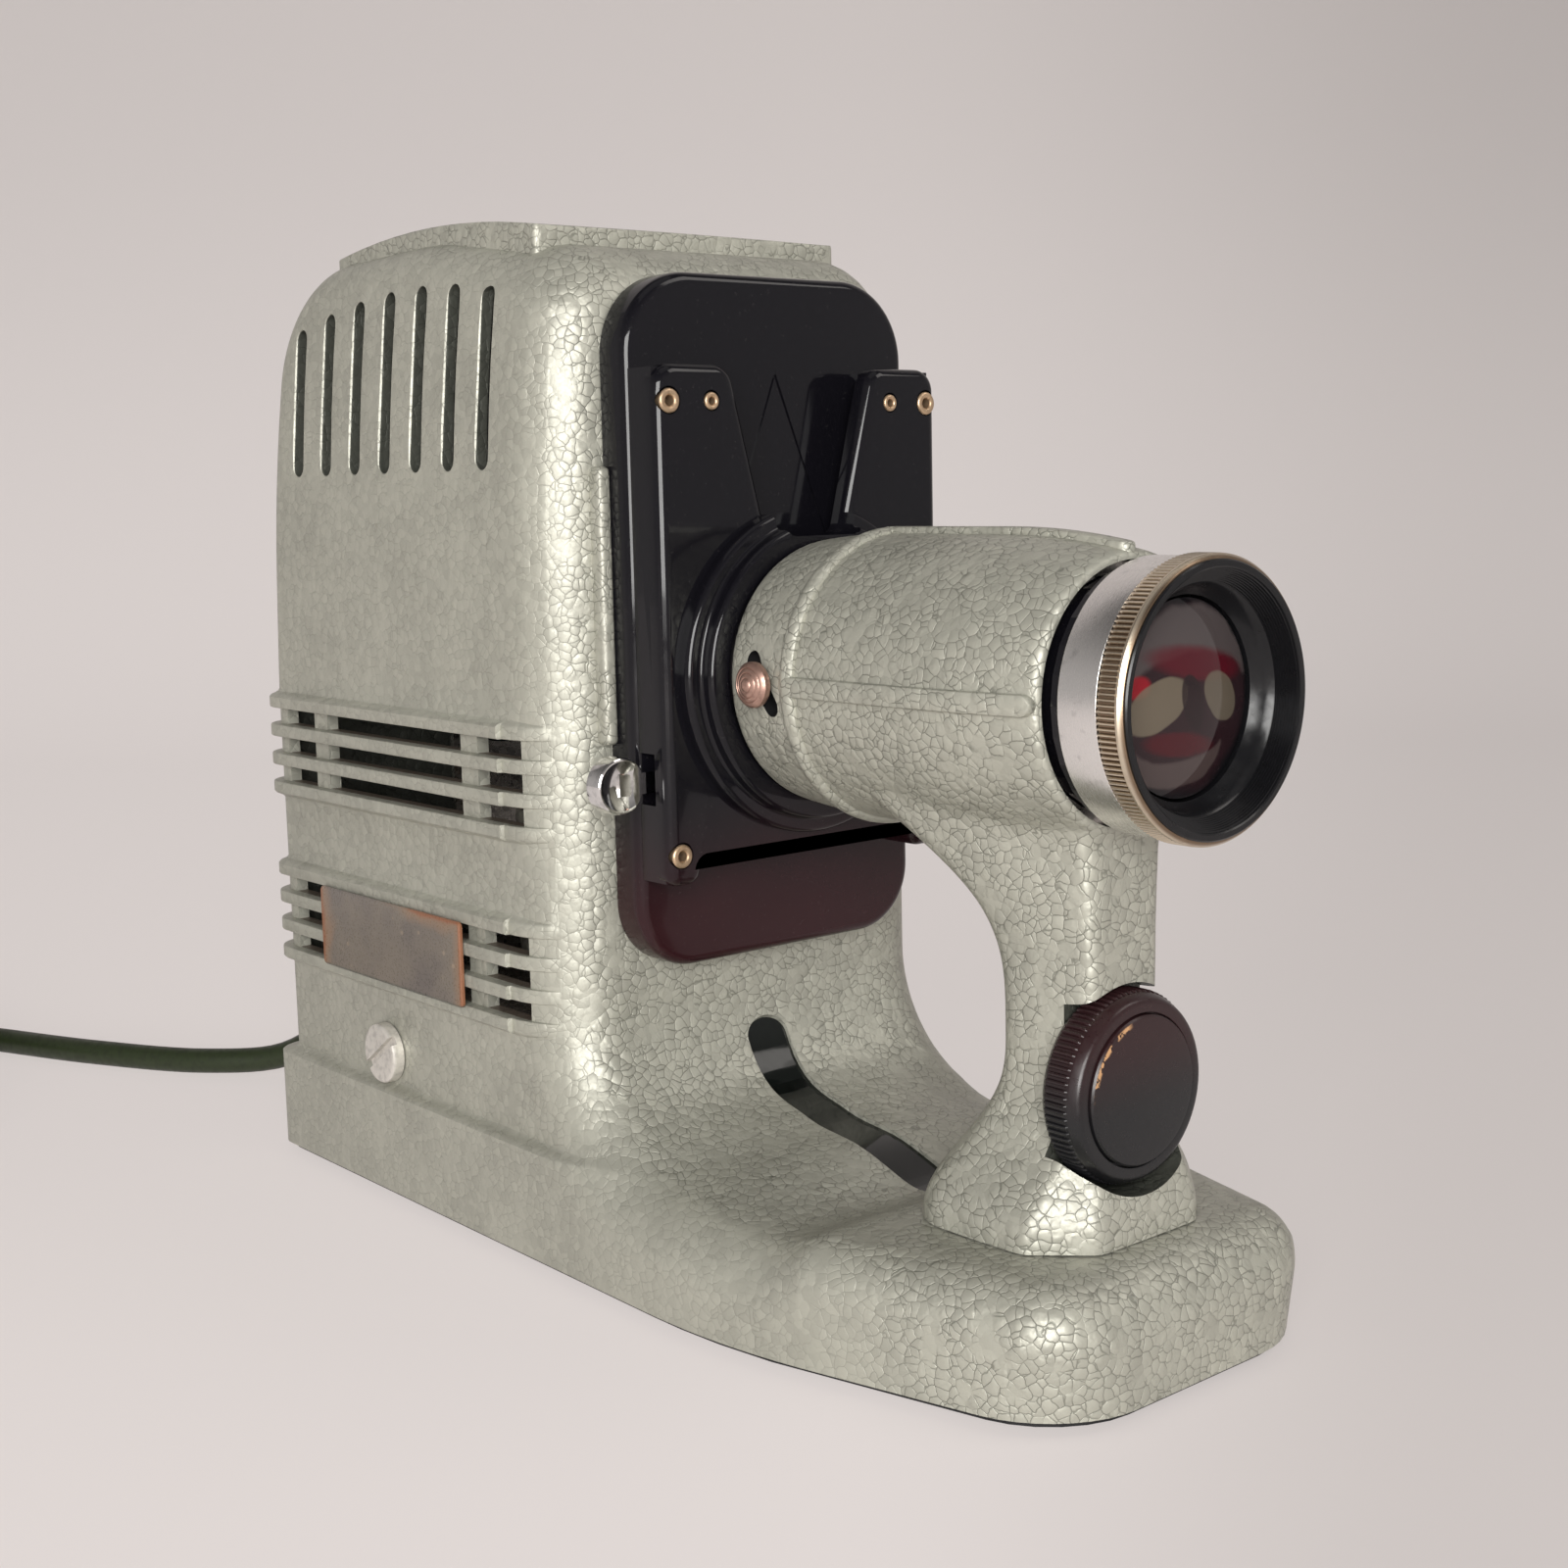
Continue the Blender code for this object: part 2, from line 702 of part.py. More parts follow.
def castingShell(inset, arc, ring_count):
    """The casting's outside, or with an inset the hollow in it, as one closed body."""
    outline, edges = castingOutline(arc)
    outline = stretch(outline, inset)
    if inset > 0:
        outline[0].y = -overrun
        outline[-1].y = -overrun
    shape = bmesh.new()
    rings = []
    for ring in range(ring_count):
        swing = math.pi / 2 * ring / (ring_count - 1)
        edge_list = [max(edge - inset, wall) for edge in edges]
        drawn = []
        for index, point in enumerate(outline):
            before = outline[max(index - 1, 0)]
            after = outline[min(index + 1, len(outline) - 1)]
            run = (after - before).normalized()
            draw = edge_list[index] * (1 - math.cos(swing))
            drawn.append(point + Vector((-run.y, run.x)) * draw)
        drawn[0].y = outline[0].y
        drawn[-1].y = outline[-1].y
        for side in (1, -1):
            spots = []
            for index, (y, z) in enumerate(drawn):
                out = housing_half_width + skirt - inset - edge_list[index] * (1 - math.sin(swing))
                spots.append(shape.verts.new(at(side * out, y, z)))
            rings.append(spots)
    right, left = rings[0::2], rings[1::2]
    bands = [(right[0], left[0])]
    bands += list(zip(right, right[1:])) + list(zip(left[1:], left))
    for one, two in bands:
        for index in range(len(outline) - 1):
            shape.faces.new((one[index], one[index + 1], two[index + 1], two[index]))
    shape.faces.new(right[-1])
    shape.faces.new(list(reversed(left[-1])))
    bottom = [ring[0] for ring in reversed(right)] + [ring[0] for ring in left]
    bottom += [ring[-1] for ring in reversed(left)] + [ring[-1] for ring in right]
    shape.faces.new(bottom)
    bmesh.ops.recalc_face_normals(shape, faces=shape.faces)
    taper, fade = taper_shares, fade_shares
    if inset > 0:
        taper, fade = hollow_taper_shares, hollow_fade_shares
    levels = [crease_z, crease_z + crease_rise]
    levels += [lean_z + (crown_z - lean_z) * share for share in lean_shares]
    for level in levels:
        bisect(shape, at(0, 0, level), at(0, 0, 1))
    stations = [taper_y + taper_blend * share for share in taper]
    stations += [skirt_fade_end + (skirt_fade_start - skirt_fade_end) * share for share in fade]
    for station in stations:
        bisect(shape, at(0, station, 0), at(0, 1, 0))
    for spot in shape.verts:
        x, y, z = spot.co
        pull = housing_half_width + skirt - castingHalf(y, max(z, 0.0))
        spot.co = at(math.copysign(abs(x) - pull, x), castingRear(y, z), z)
    bmesh.ops.triangulate(shape, faces=shape.faces)
    return shape


def bisect(shape, place, normal):
    everything = list(shape.verts) + list(shape.edges) + list(shape.faces)
    bmesh.ops.bisect_plane(shape, geom=everything, dist=fit_gap * 0.01, plane_co=place, plane_no=normal)


def louvreRib(low):
    """One rib: a U in plan, stepped shallower at the front corners and faded into them."""
    def side(proud, root):
        out = housing_half_width + proud - root
        back = rear_y + proud - root
        corner = rear_edge + proud
        shallow = out - (louvre_proud - louvre_shallow if root == 0 else 0)
        bend = front_edge + louvre_shallow - root
        centre = shallow - bend
        points = []
        steps = 5
        middle = housing_front + front_edge + louvre_fade
        for step in range(steps + 1):
            turn = math.radians(-80.0) + math.radians(80.0) * step / steps
            points.append((centre + bend * math.cos(turn), middle + bend * math.sin(turn)))
        if root == 0:
            points[-1] = (shallow, louvre_step_y + louvre_fade)
            points.append((out, louvre_step_y + louvre_fade))
        points += [(out, back - corner)]
        steps = 2
        for step in range(1, steps + 1):
            turn = math.pi / 2 * step / steps
            points.append((out - corner + corner * math.cos(turn), back - corner + corner * math.sin(turn)))
        return points

    outer = side(louvre_proud, 0.0)
    inner = side(0.0, louvre_root)
    path = outer + [(-x, y) for x, y in reversed(outer)]
    back = inner + [(-x, y) for x, y in reversed(inner)]
    return prism(path + list(reversed(back)), "z", low, low + louvre_rib)


def louvreRibs():
    pitch = louvre_rib + louvre_gap
    lows = [band + pitch * number for band in louvre_bands for number in range(louvre_count)]
    return merge(*[louvreRib(low) for low in lows])


def louvreCuts():
    reach = housing_half_width + louvre_proud + overrun
    pitch = louvre_rib + louvre_gap
    cuts = []
    for band in louvre_bands:
        for number in range(louvre_count - 1):
            low = band + louvre_rib + pitch * number
            for span in louvre_spans:
                cuts.append(box((-reach, reach), span, (low, low + louvre_gap)))
    return cuts


def capsule(centre_y, low, high, width):
    """Outline in y and z of an upright slot with round ends."""
    half = width / 2
    steps = 3
    points = []
    for step in range(steps + 1):
        turn = math.pi * step / steps
        points.append((centre_y + half * math.cos(turn), high - half + half * math.sin(turn)))
    for step in range(steps + 1):
        turn = math.pi + math.pi * step / steps
        points.append((centre_y + half * math.cos(turn), low + half + half * math.sin(turn)))
    return points


def ventCuts():
    reach = housing_half_width + overrun
    cuts = []
    for number in range(vent_count):
        y = vent_first_y + vent_pitch * number
        away = (y - vent_top_y) / (vent_pitch * (vent_count - 1) / 2)
        top = vent_top - vent_top_fall * away * away
        cuts.append(prism(capsule(y, vent_bottom, top, vent_width), "x", -reach, reach))
    return cuts


def swoopSlotCut():
    """A round-ended slot, cut slantwise so that both ends are round where they break through."""
    half = swoop_slot_width / 2
    tilt = math.pi / 4
    round_reach = half * math.cos(tilt)
    low = swoop_slot_end * math.cos(tilt) + valley_z * math.sin(tilt) + round_reach
    high = housing_front * math.cos(tilt) + swoop_slot_top * math.sin(tilt) - round_reach
    points = []
    for centre, first in ((high, 0.0), (low, math.pi)):
        for step in range(swoop_slot_steps + 1):
            turn = first + math.pi * step / swoop_slot_steps
            points.append((half * math.cos(turn), centre + round_reach * math.sin(turn)))
    cut = prism(points, "z", swoop_cut_low, swoop_cut_high)
    bmesh.ops.rotate(cut, verts=cut.verts, cent=at(0, 0, 0), matrix=Matrix.Rotation(tilt, 3, "X"))
    return cut


def coverOpening():
    inner = cover_half_width - top_opening_margin
    return box((-inner, inner), (cover_front + top_opening_margin, cover_rear - top_opening_margin),
               (rear_corner_z - wall * 4, crown_z + wall))


def bodyCasting():
    body = finish("body_casting", castingShell(0.0, arc_step, edge_rings), paint_look)
    modify(body, castingShell(wall, hollow_step, hollow_rings), "DIFFERENCE", "cut_hollow")
    modify(body, louvreRibs(), "UNION", "add_ribs")
    modify(body, swoopSlotCut(), "DIFFERENCE", "cut_swoop_slot")
    cuts = louvreCuts() + ventCuts()
    cuts.append(coverOpening())
    cuts.append(prism(circle((0.0, axis_z), condenser_radius + fit_gap), "y",
                      housing_front - overrun, housing_front + wall + overrun))
    cuts.append(prism(circle((coin_y, coin_z), coin_shank + fit_gap, 24), "x",
                      -housing_half_width - skirt - overrun, housing_half_width + skirt + overrun))
    cuts.append(prism(circle((gland_x, gland_z), gland_root_radius + fit_gap, 24), "y",
                      rear_y - wall - overrun, rear_skirt_y + overrun))
    cuts.append(box((rack_left - fit_gap, rack_right + fit_gap),
                    (rack_y - rack_half_depth - fit_gap, rack_y + rack_half_depth + fit_gap),
                    (toe_z - wall - overrun, toe_z + overrun)))
    cuts.append(prism(circle((0.0, bolt_y), bolt_radius + fit_gap, 24), "z",
                      toe_z - wall - overrun, toe_z + overrun))
    modify(body, merge(*cuts), "DIFFERENCE", "cut_openings")
    return body


# covers and feet

def crownCurve(start, end, lift_by, count=9):
    """The housing's top line between two places, raised by lift_by."""
    outline, edges = castingOutline()
    top = [point for point in outline if point.y > rear_corner_z - rear_corner_radius]
    top.sort(key=lambda point: point.x)
    points = []
    for number in range(count + 1):
        y = start + (end - start) * number / count
        z = crown_z
        for low, high in zip(top, top[1:]):
            if low.x <= y <= high.x:
                z = low.y + (high.y - low.y) * (y - low.x) / max(high.x - low.x, fit_gap * 0.01)
        points.append((y, z + lift_by))
    return points


def topVentCover():
    low = crownCurve(cover_front, cover_rear, fit_gap)
    high = crownCurve(cover_front, cover_rear, fit_gap + cover_thick)
    cover = finish("top_vent_cover",
                   prism(low + list(reversed(high)), "x", -cover_half_width, cover_half_width), paint_look)
    plan = loop([(-cover_half_width, cover_front, cover_corner), (cover_half_width, cover_front,
                                                                  cover_corner),
                 (cover_half_width, cover_rear, cover_corner), (-cover_half_width, cover_rear,
                                                                cover_corner)])
    modify(cover, prism(plan, "z", rear_corner_z - wall * 4, crown_z + cover_thick * 2), "INTERSECT",
           "trim_cover")
    cuts = []
    for number in range(cover_slot_count):
        x = (number - (cover_slot_count - 1) / 2) * cover_slot_pitch
        slot = capsule(x, cover_front + cover_slot_margin, cover_rear - cover_slot_margin, cover_slot_width)
        cuts.append(prism(slot, "z", rear_corner_z - wall * 4, crown_z + cover_thick * 2))
    modify(cover, merge(*cuts), "DIFFERENCE", "cut_cover")
    return cover


def planOutline(inset):
    """Plan of the casting's lower edge, drawn in by inset."""
    points = []
    front = toe_front + inset
    back = rear_skirt_y - inset
    corner = toe_corner_edge - inset
    steps = 6
    for step in range(steps + 1):
        turn = math.pi / 2 * step / steps
        y = front + corner * (1 - math.cos(turn))
        x = castingHalf(y, 0.0) - inset - corner * (1 - math.sin(turn))
        points.append((x, y))
    for share in taper_shares[2:]:
        y = taper_y + taper_blend * share
        points.append((castingHalf(y, 0.0) - inset, y))
    corner = rear_edge
    for step in range(steps // 2 + 1):
        turn = math.pi / 2 * step / (steps // 2)
        x = castingHalf(back, 0.0) - inset - corner * (1 - math.cos(turn))
        points.append((x, back - corner * (1 - math.sin(turn))))
    return points + [(-x, y) for x, y in reversed(points)]


def solePlate():
    sole = finish("sole_plate", prism(planOutline(sole_inset), "z", -fit_gap - sole_thick, -fit_gap),
                  matt_look)
    cuts = [prism(circle((rack_middle, rack_y), lift_pad_radius + fit_gap * 2, 32), "z", floor, overrun)]
    cuts.append(prism(circle((0.0, bolt_y), bolt_head_radius + fit_gap, 24), "z", floor, overrun))
    for number in range(sole_vent_count):
        y = lamp_y + (number - (sole_vent_count - 1) / 2) * vent_pitch
        cuts.append(box((-chassis_post_half * 2, chassis_post_half * 2), (y, y + vent_width),
                        (floor, overrun)))
    modify(sole, merge(*cuts), "DIFFERENCE", "cut_sole")
    return sole


def rubberFeet():
    places = {"foot_rear_left": (-pad_rear_x, pad_rear_y), "foot_rear_right": (pad_rear_x, pad_rear_y),
              "foot_front_left": (-pad_front_x, pad_front_y), "foot_front_right": (pad_front_x, pad_front_y)}
    for name, (x, y) in places.items():
        profile = [(0.0, floor), (pad_radius - pad_height / 2, floor), (pad_radius, floor + pad_height / 2),
                   (pad_radius, floor + pad_height), (0.0, floor + pad_height)]
        finish(name, lathe(profile, "z", (x, y), 24), rubber_look)


# stand

def standSection(z):
    """Plan of the stand at a height: half widths and y places, front and rear."""
    foot = 1 - blend(z, toe_z + foot_lip, column_mid_z)
    head = blend(z, column_mid_z + fit_gap, column_join_z)
    front_half = column_front_half + (foot_half_width * front_share - column_front_half) * foot ** flare_power
    rear_half = column_rear_half + (foot_half_width - column_rear_half) * foot ** flare_power
    rear_half += (tube_radius * head_share - column_rear_half) * head ** head_power
    front = column_front + (foot_front - column_front) * foot ** flare_power
    rear = column_rear + (foot_rear - column_rear) * foot ** rear_power
    rear += (tube_mid_y - column_rear) * head ** head_power
    front_half += (rear_half - column_front_half) * blend(z, axis_z - tube_radius, column_join_z)
    return front_half, rear_half, front, rear


def standColumn():
    """The arched column, lofted through plan sections from the foot up into the tube."""
    low = toe_z + fit_gap
    levels = [low, low + foot_lip]
    levels += [low + foot_lip + (column_join_z - low - foot_lip) * step / column_level_count
               for step in range(1, column_level_count + 1)]
    shape = bmesh.new()
    rings = []
    for z in levels:
        front_half, rear_half, front, rear = standSection(max(z, low + foot_lip))
        depth = rear - front
        bevel = min(depth, rear_half * 2) * chamfer_share
        middle = front + depth * 0.5
        belly = front_half + (rear_half - front_half) * belly_share
        side = [(0.0, front), (front_half - column_nose, front), (front_half, front + column_nose),
                (belly, middle), (rear_half, rear - bevel), (rear_half - bevel, rear), (0.0, rear)]
        plan = side + [(-x, y) for x, y in reversed(side[1:-1])]
        rings.append([shape.verts.new(at(x, y, z)) for x, y in plan])
    for one, two in zip(rings, rings[1:]):
        count = len(one)
        for index in range(count):
            after = (index + 1) % count
            shape.faces.new((one[index], one[after], two[after], two[index]))
    shape.faces.new(list(reversed(rings[0])))
    shape.faces.new(rings[-1])
    bmesh.ops.triangulate(shape, faces=shape.faces)
    bmesh.ops.recalc_face_normals(shape, faces=shape.faces)
    return shape


def tubeRadius(y):
    """Outer radius of the lens tube along its length."""
    if y > tube_mid_y:
        share = (y - tube_mid_y) / (tube_rear - tube_mid_y)
        return tube_radius + (tube_rear_radius - tube_radius) * share ** rear_taper_power
    if y > tube_belly_y:
        return tube_radius
    share = (tube_belly_y - y) / (tube_belly_y - tube_front)
    return tube_radius + (tube_front_radius - tube_radius) * share ** 2


def tubeOutline():
    """Outside of the tube from its rear to its front, with the ring rib near the rear."""
    points = [(tubeRadius(tube_rear) - tube_lip, tube_rear), (tubeRadius(tube_rear), tube_rear - tube_lip)]
    half = tube_ring_width / 2
    for along, share in ((half, 0.0), (half, 0.6), (half * 0.4, 1.0), (-half * 0.4, 1.0), (-half, 0.6),
                         (-half, 0.0)):
        y = tube_mid_y + along
        points.append((tubeRadius(y) + tube_ring_proud * share, y))
    steps = 6
    for step in range(1, steps + 1):
        y = tube_mid_y - half + (tube_front + tube_lip - tube_mid_y + half) * step / steps
        points.append((tubeRadius(y), y))
    points.append((tubeRadius(tube_front) - tube_lip, tube_front))
    return points


def lensStand():
    outline = tubeOutline()
    stand = finish("lens_stand", lathe(outline, "y", (0.0, axis_z), tube_steps, capped=True), paint_look)
    modify(stand, standColumn(), "UNION", "add_column")
    modify(stand, merge(*[longRib(turn) for turn in (0.0, math.pi / 2, math.pi)]), "UNION", "add_long_ribs")
    rack_room = (rack_left - fit_gap, rack_right + fit_gap)
    rack_deep = (rack_y - rack_half_depth - fit_gap, rack_y + rack_half_depth + fit_gap)
    front = foot_front - overrun
    wide = [prism(circle((0.0, axis_z), tube_bore, tube_steps), "y", tube_front - overrun,
                  tube_rear + overrun),
            prism(circle((0.0, knob_z), knob_radius + recess_clearance), "y", front, knob_rear + fit_gap),
            prism(circle((0.0, bolt_y), bolt_radius + fit_gap, 24), "z", toe_z - overrun,
                  toe_z + bolt_depth)]
    modify(stand, merge(*wide), "DIFFERENCE", "cut_bore_and_recess")
    deep = [pinSlot(focus_slot_width / 2), box(rack_room, rack_deep, (toe_z - overrun, rack_top + overrun))]
    modify(stand, merge(*deep), "DIFFERENCE", "cut_slot_and_rack_way")
    gear_room = pitch_radius + gear_module * 2
    room = box((-gear_room, rack_middle), (gear_front - fit_gap, gear_rear + fit_gap),
               (knob_z - gear_room, knob_z + gear_room))
    modify(stand, room, "DIFFERENCE", "cut_gear_room")
    bores = [prism(circle((0.0, knob_z), bush_radius + fit_gap, 24), "y", knob_rear - overrun,
                   gear_front + fit_gap),
             prism(circle((0.0, knob_z), shaft_radius + fit_gap, 24), "y", gear_rear - fit_gap,
                   shaft_rear + fit_gap)]
    modify(stand, merge(*bores), "DIFFERENCE", "cut_shaft_bores")
    return stand


def longRib(turn):
    """A rib along the tube at a turn round its axis, following the tube's taper."""
    half = tube_rib_width / 2
    shape = bmesh.new()
    steps = 5
    rings = []
    for step in range(steps + 1):
        y = tube_mid_y + (tube_rib_front - tube_mid_y) * step / steps
        y = max(y, tube_rib_front)
        seat = tubeRadius(max(y, tube_front))
        narrow = 1.0 if step < steps else 0.6
        cross = [(-half * narrow, seat - tube_rib_proud), (-half * narrow, seat + tube_rib_proud * 0.6),
                 (-half * 0.5 * narrow, seat + tube_rib_proud), (half * 0.5 * narrow,
                                                                 seat + tube_rib_proud),
                 (half * narrow, seat + tube_rib_proud * 0.6), (half * narrow, seat - tube_rib_proud)]
        ring = []
        for across, out in cross:
            x = out * math.cos(turn) - across * math.sin(turn)
            z = out * math.sin(turn) + across * math.cos(turn)
            ring.append(shape.verts.new(at(x, y, axis_z + z)))
        rings.append(ring)
    for one, two in zip(rings, rings[1:]):
        for index in range(len(one)):
            after = (index + 1) % len(one)
            shape.faces.new((one[index], one[after], two[after], two[index]))
    shape.faces.new(list(reversed(rings[0])))
    shape.faces.new(rings[-1])
    return shape


# focusing


def pinSlot(half):
    """The slanted slot through the tube's left wall for the focus pin."""
    steps = 5
    straight = focus_slot_half - half
    points = []
    for end in (1, -1):
        for step in range(steps + 1):
            turn = math.pi * step / steps + (0 if end > 0 else math.pi)
            along = end * straight + half * math.sin(turn)
            across = half * math.cos(turn)
            y = focus_pin_y + along * math.sin(focus_slot_lean) + across * math.cos(focus_slot_lean)
            z = axis_z + along * math.cos(focus_slot_lean) - across * math.sin(focus_slot_lean)
            points.append((y, z))
    return prism(points, "x", -tube_radius - overrun, -tube_bore + overrun)


def focusSleeve():
    groove_low = focus_pin_y - groove_width / 2
    groove_high = focus_pin_y + groove_width / 2
    deep = sleeve_radius - groove_depth
    profile = [(sleeve_bore, sleeve_rear), (sleeve_radius, sleeve_rear), (sleeve_radius, groove_high),
               (deep, groove_high), (deep, groove_low), (sleeve_radius, groove_low),
               (sleeve_radius, sleeve_front), (sleeve_bore, sleeve_front)]
    return finish("focus_sleeve", lathe(profile, "y", (0.0, axis_z)), steel_look, (0.0, sleeve_front, axis_z))


def focusPin():
    out = tube_radius + tube_rib_proud * 0.3
    profile = [(0.0, -sleeve_radius + groove_depth - fit_gap),
               (focus_shaft, -sleeve_radius + groove_depth - fit_gap),
               (focus_shaft, -out), (focus_head, -out - fit_gap),
               (focus_head, -out - focus_head_thick * 0.55),
               (focus_head * 0.8, -out - focus_head_thick * 0.8), (focus_head * 0.55,
                                                                   -out - focus_head_thick * 0.8),
               (focus_head * 0.4, -out - focus_head_thick), (0.0, -out - focus_head_thick)]
    return finish("focus_pin", lathe(profile, "x", (focus_pin_y, axis_z), 32), copper_look,
                  (0.0, focus_pin_y, axis_z))


# lens

def lensParts():
    seat = (0.0, band_rear, axis_z)
    axis = (0.0, axis_z)
    collar_y = band_rear + fit_gap
    barrel = [(barrel_bore, barrel_rear), (barrel_radius, barrel_rear),
              (barrel_radius, collar_y + barrel_collar),
              (barrel_collar_radius, collar_y + barrel_collar), (barrel_collar_radius, collar_y),
              (ring_bore - fit_gap, collar_y), (ring_bore - fit_gap, knurl_front + hood_flange),
              (barrel_bore, knurl_front + hood_flange)]
    finish("lens_barrel", lathe(barrel, "y", axis), black_look, seat)
    band = [(ring_bore, band_rear), (band_radius - tube_lip / 4, band_rear),
            (band_radius, band_rear - tube_lip / 4),
            (band_radius, knurl_rear + fit_gap), (ring_bore, knurl_rear + fit_gap)]
    finish("scale_ring", lathe(band, "y", axis), bright_look, seat)
    knurl = [(ring_bore, knurl_rear), (knurl_radius - knurl_depth, knurl_rear),
             (knurl_radius, knurl_rear - knurl_depth), (knurl_radius, knurl_front + knurl_depth * 2),
             (knurl_radius - knurl_depth, knurl_front), (ring_bore, knurl_front)]
    finish("knurled_ring",
           lathe(knurl, "y", axis, knurl_tooth_count * 2,
                 lambda number, step: knurl_depth if number in (2, 3) and step % 2 else 0.0),
                 champagne_look, seat)
    hood_rear = knurl_front - fit_gap
    hood_end = knurl_front + hood_flange - fit_gap
    hood = [(hood_throat, hood_end), (ring_bore - fit_gap, hood_end), (ring_bore - fit_gap, hood_rear),
            (hood_radius - tube_lip / 4, hood_rear), (hood_radius, hood_rear - tube_lip / 4),
            (hood_radius - tube_lip / 4, lens_front), (hood_mouth, lens_front),
            (hood_mouth - hood_lip, hood_rear), (hood_throat, lens_front + hood_depth)]
    finish("front_hood", lathe(hood, "y", axis), black_look, seat)
    front = lens_front + front_glass_inset
    glass = glassProfile(front_glass_radius, front, front + front_glass_thick, front_glass_bulge,
                         front_glass_bulge / 2)
    finish("front_glass", lathe(glass, "y", axis), glass_look, seat)
    seat_y = front + front_glass_thick + fit_gap
    retainer = [(retainer_bore, seat_y), (barrel_bore - fit_gap, seat_y),
                (barrel_bore - fit_gap, seat_y + retainer_thick), (retainer_bore, seat_y + retainer_thick)]
    finish("glass_retainer", lathe(retainer, "y", axis), matt_look, seat)
    glass = glassProfile(barrel_bore - fit_gap, rear_glass_y, rear_glass_y + rear_glass_thick,
                         rear_glass_bulge, rear_glass_bulge)
    finish("rear_glass", lathe(glass, "y", axis), glass_look, seat)


def glassProfile(radius, front, back, front_bulge, back_bulge):
    """Half section of a lens between two planes at its rim, bulging past them toward its axis."""
    steps = 3
    points = []
    for step in range(steps + 1):
        share = step / steps
        points.append((radius * share, front - front_bulge * (1 - share * share)))
    for step in range(steps, -1, -1):
        share = step / steps
        points.append((radius * share, back + back_bulge * (1 - share * share)))
    return points


# knob and rack

def knobParts():
    seat = (0.0, knob_rear, knob_z)
    axis = (0.0, knob_z)
    dish = cap_radius + fit_gap
    knob = [(shaft_radius + fit_gap, knob_rear), (knob_radius - knob_chamfer, knob_rear),
            (knob_radius, knob_rear - knob_chamfer), (knob_radius, knob_front + knob_chamfer * 1.6),
            (knob_radius - knob_chamfer, knob_front), (dish, knob_front), (dish, knob_front + cap_depth),
            (shaft_radius + fit_gap, knob_front + cap_depth)]
    finish("tilt_knob",
           lathe(knob, "y", axis, knob_flute_count * 2,
                 lambda number, step: knob_flute_depth if number in (2, 3) and step % 2 else 0.0),
                 black_look, seat)
    cap = [(0.0, knob_front - cap_proud), (cap_radius - cap_proud, knob_front - cap_proud),
           (cap_radius, knob_front), (cap_radius, knob_front + cap_depth - fit_gap),
           (0.0, knob_front + cap_depth - fit_gap)]
    finish("knob_cap", lathe(cap, "y", axis), black_look, seat)
    shaft = [(0.0, knob_front + cap_depth), (shaft_radius, knob_front + cap_depth),
             (shaft_radius, shaft_rear), (0.0, shaft_rear)]
    finish("knob_shaft", lathe(shaft, "y", axis, 24), steel_look, seat)
    finish("pinion", pinion(), brass_look, seat, smooth=False)
    bush = [(shaft_radius + fit_gap, bush_front), (bush_radius, bush_front), (bush_radius, bush_rear),
            (shaft_radius + fit_gap, bush_rear)]
    finish("shaft_bush", lathe(bush, "y", axis, 24), brass_look)


def pinion():
    """A small gear whose bore clears the shaft, one gap facing the rack's middle tooth."""
    outline = []
    root_radius = pitch_radius - gear_module
    tip_radius = pitch_radius + gear_module * 0.8
    for tooth in range(gear_tooth_count):
        middle = 2 * math.pi * (tooth + 0.5) / gear_tooth_count
        for radius, share in ((root_radius, -0.36), (tip_radius, -0.13), (tip_radius, 0.13),
                              (root_radius, 0.36)):
            turn = middle + share * 2 * math.pi / gear_tooth_count
            outline.append((radius * math.cos(turn), knob_z + radius * math.sin(turn)))
    shape = bmesh.new()
    inner = circle((0.0, knob_z), shaft_radius + fit_gap, len(outline))
    ends = []
    for y in (gear_front, gear_rear):
        outside = [shape.verts.new(at(x, y, z)) for x, z in outline]
        inside = [shape.verts.new(at(x, y, z)) for x, z in turnTo(inner, outline[0])]
        ends.append((outside, inside))
    count = len(outline)
    for index in range(count):
        after = (index + 1) % count
        (a, b), (c, d) = ends
        shape.faces.new((a[index], a[after], b[after], b[index]))
        shape.faces.new((c[index], c[after], d[after], d[index]))
        shape.faces.new((a[index], a[after], c[after], c[index]))
        shape.faces.new((b[index], b[after], d[after], d[index]))
    bmesh.ops.recalc_face_normals(shape, faces=shape.faces)
    return shape


def turnTo(points, mark):
    """The same ring of points, started at the one nearest in direction to the mark."""
    aim = math.atan2(mark[1] - knob_z, mark[0])
    gaps = [abs(math.remainder(math.atan2(z - knob_z, x) - aim, 2 * math.pi)) for x, z in points]
    start = gaps.index(min(gaps))
    return points[start:] + points[:start]


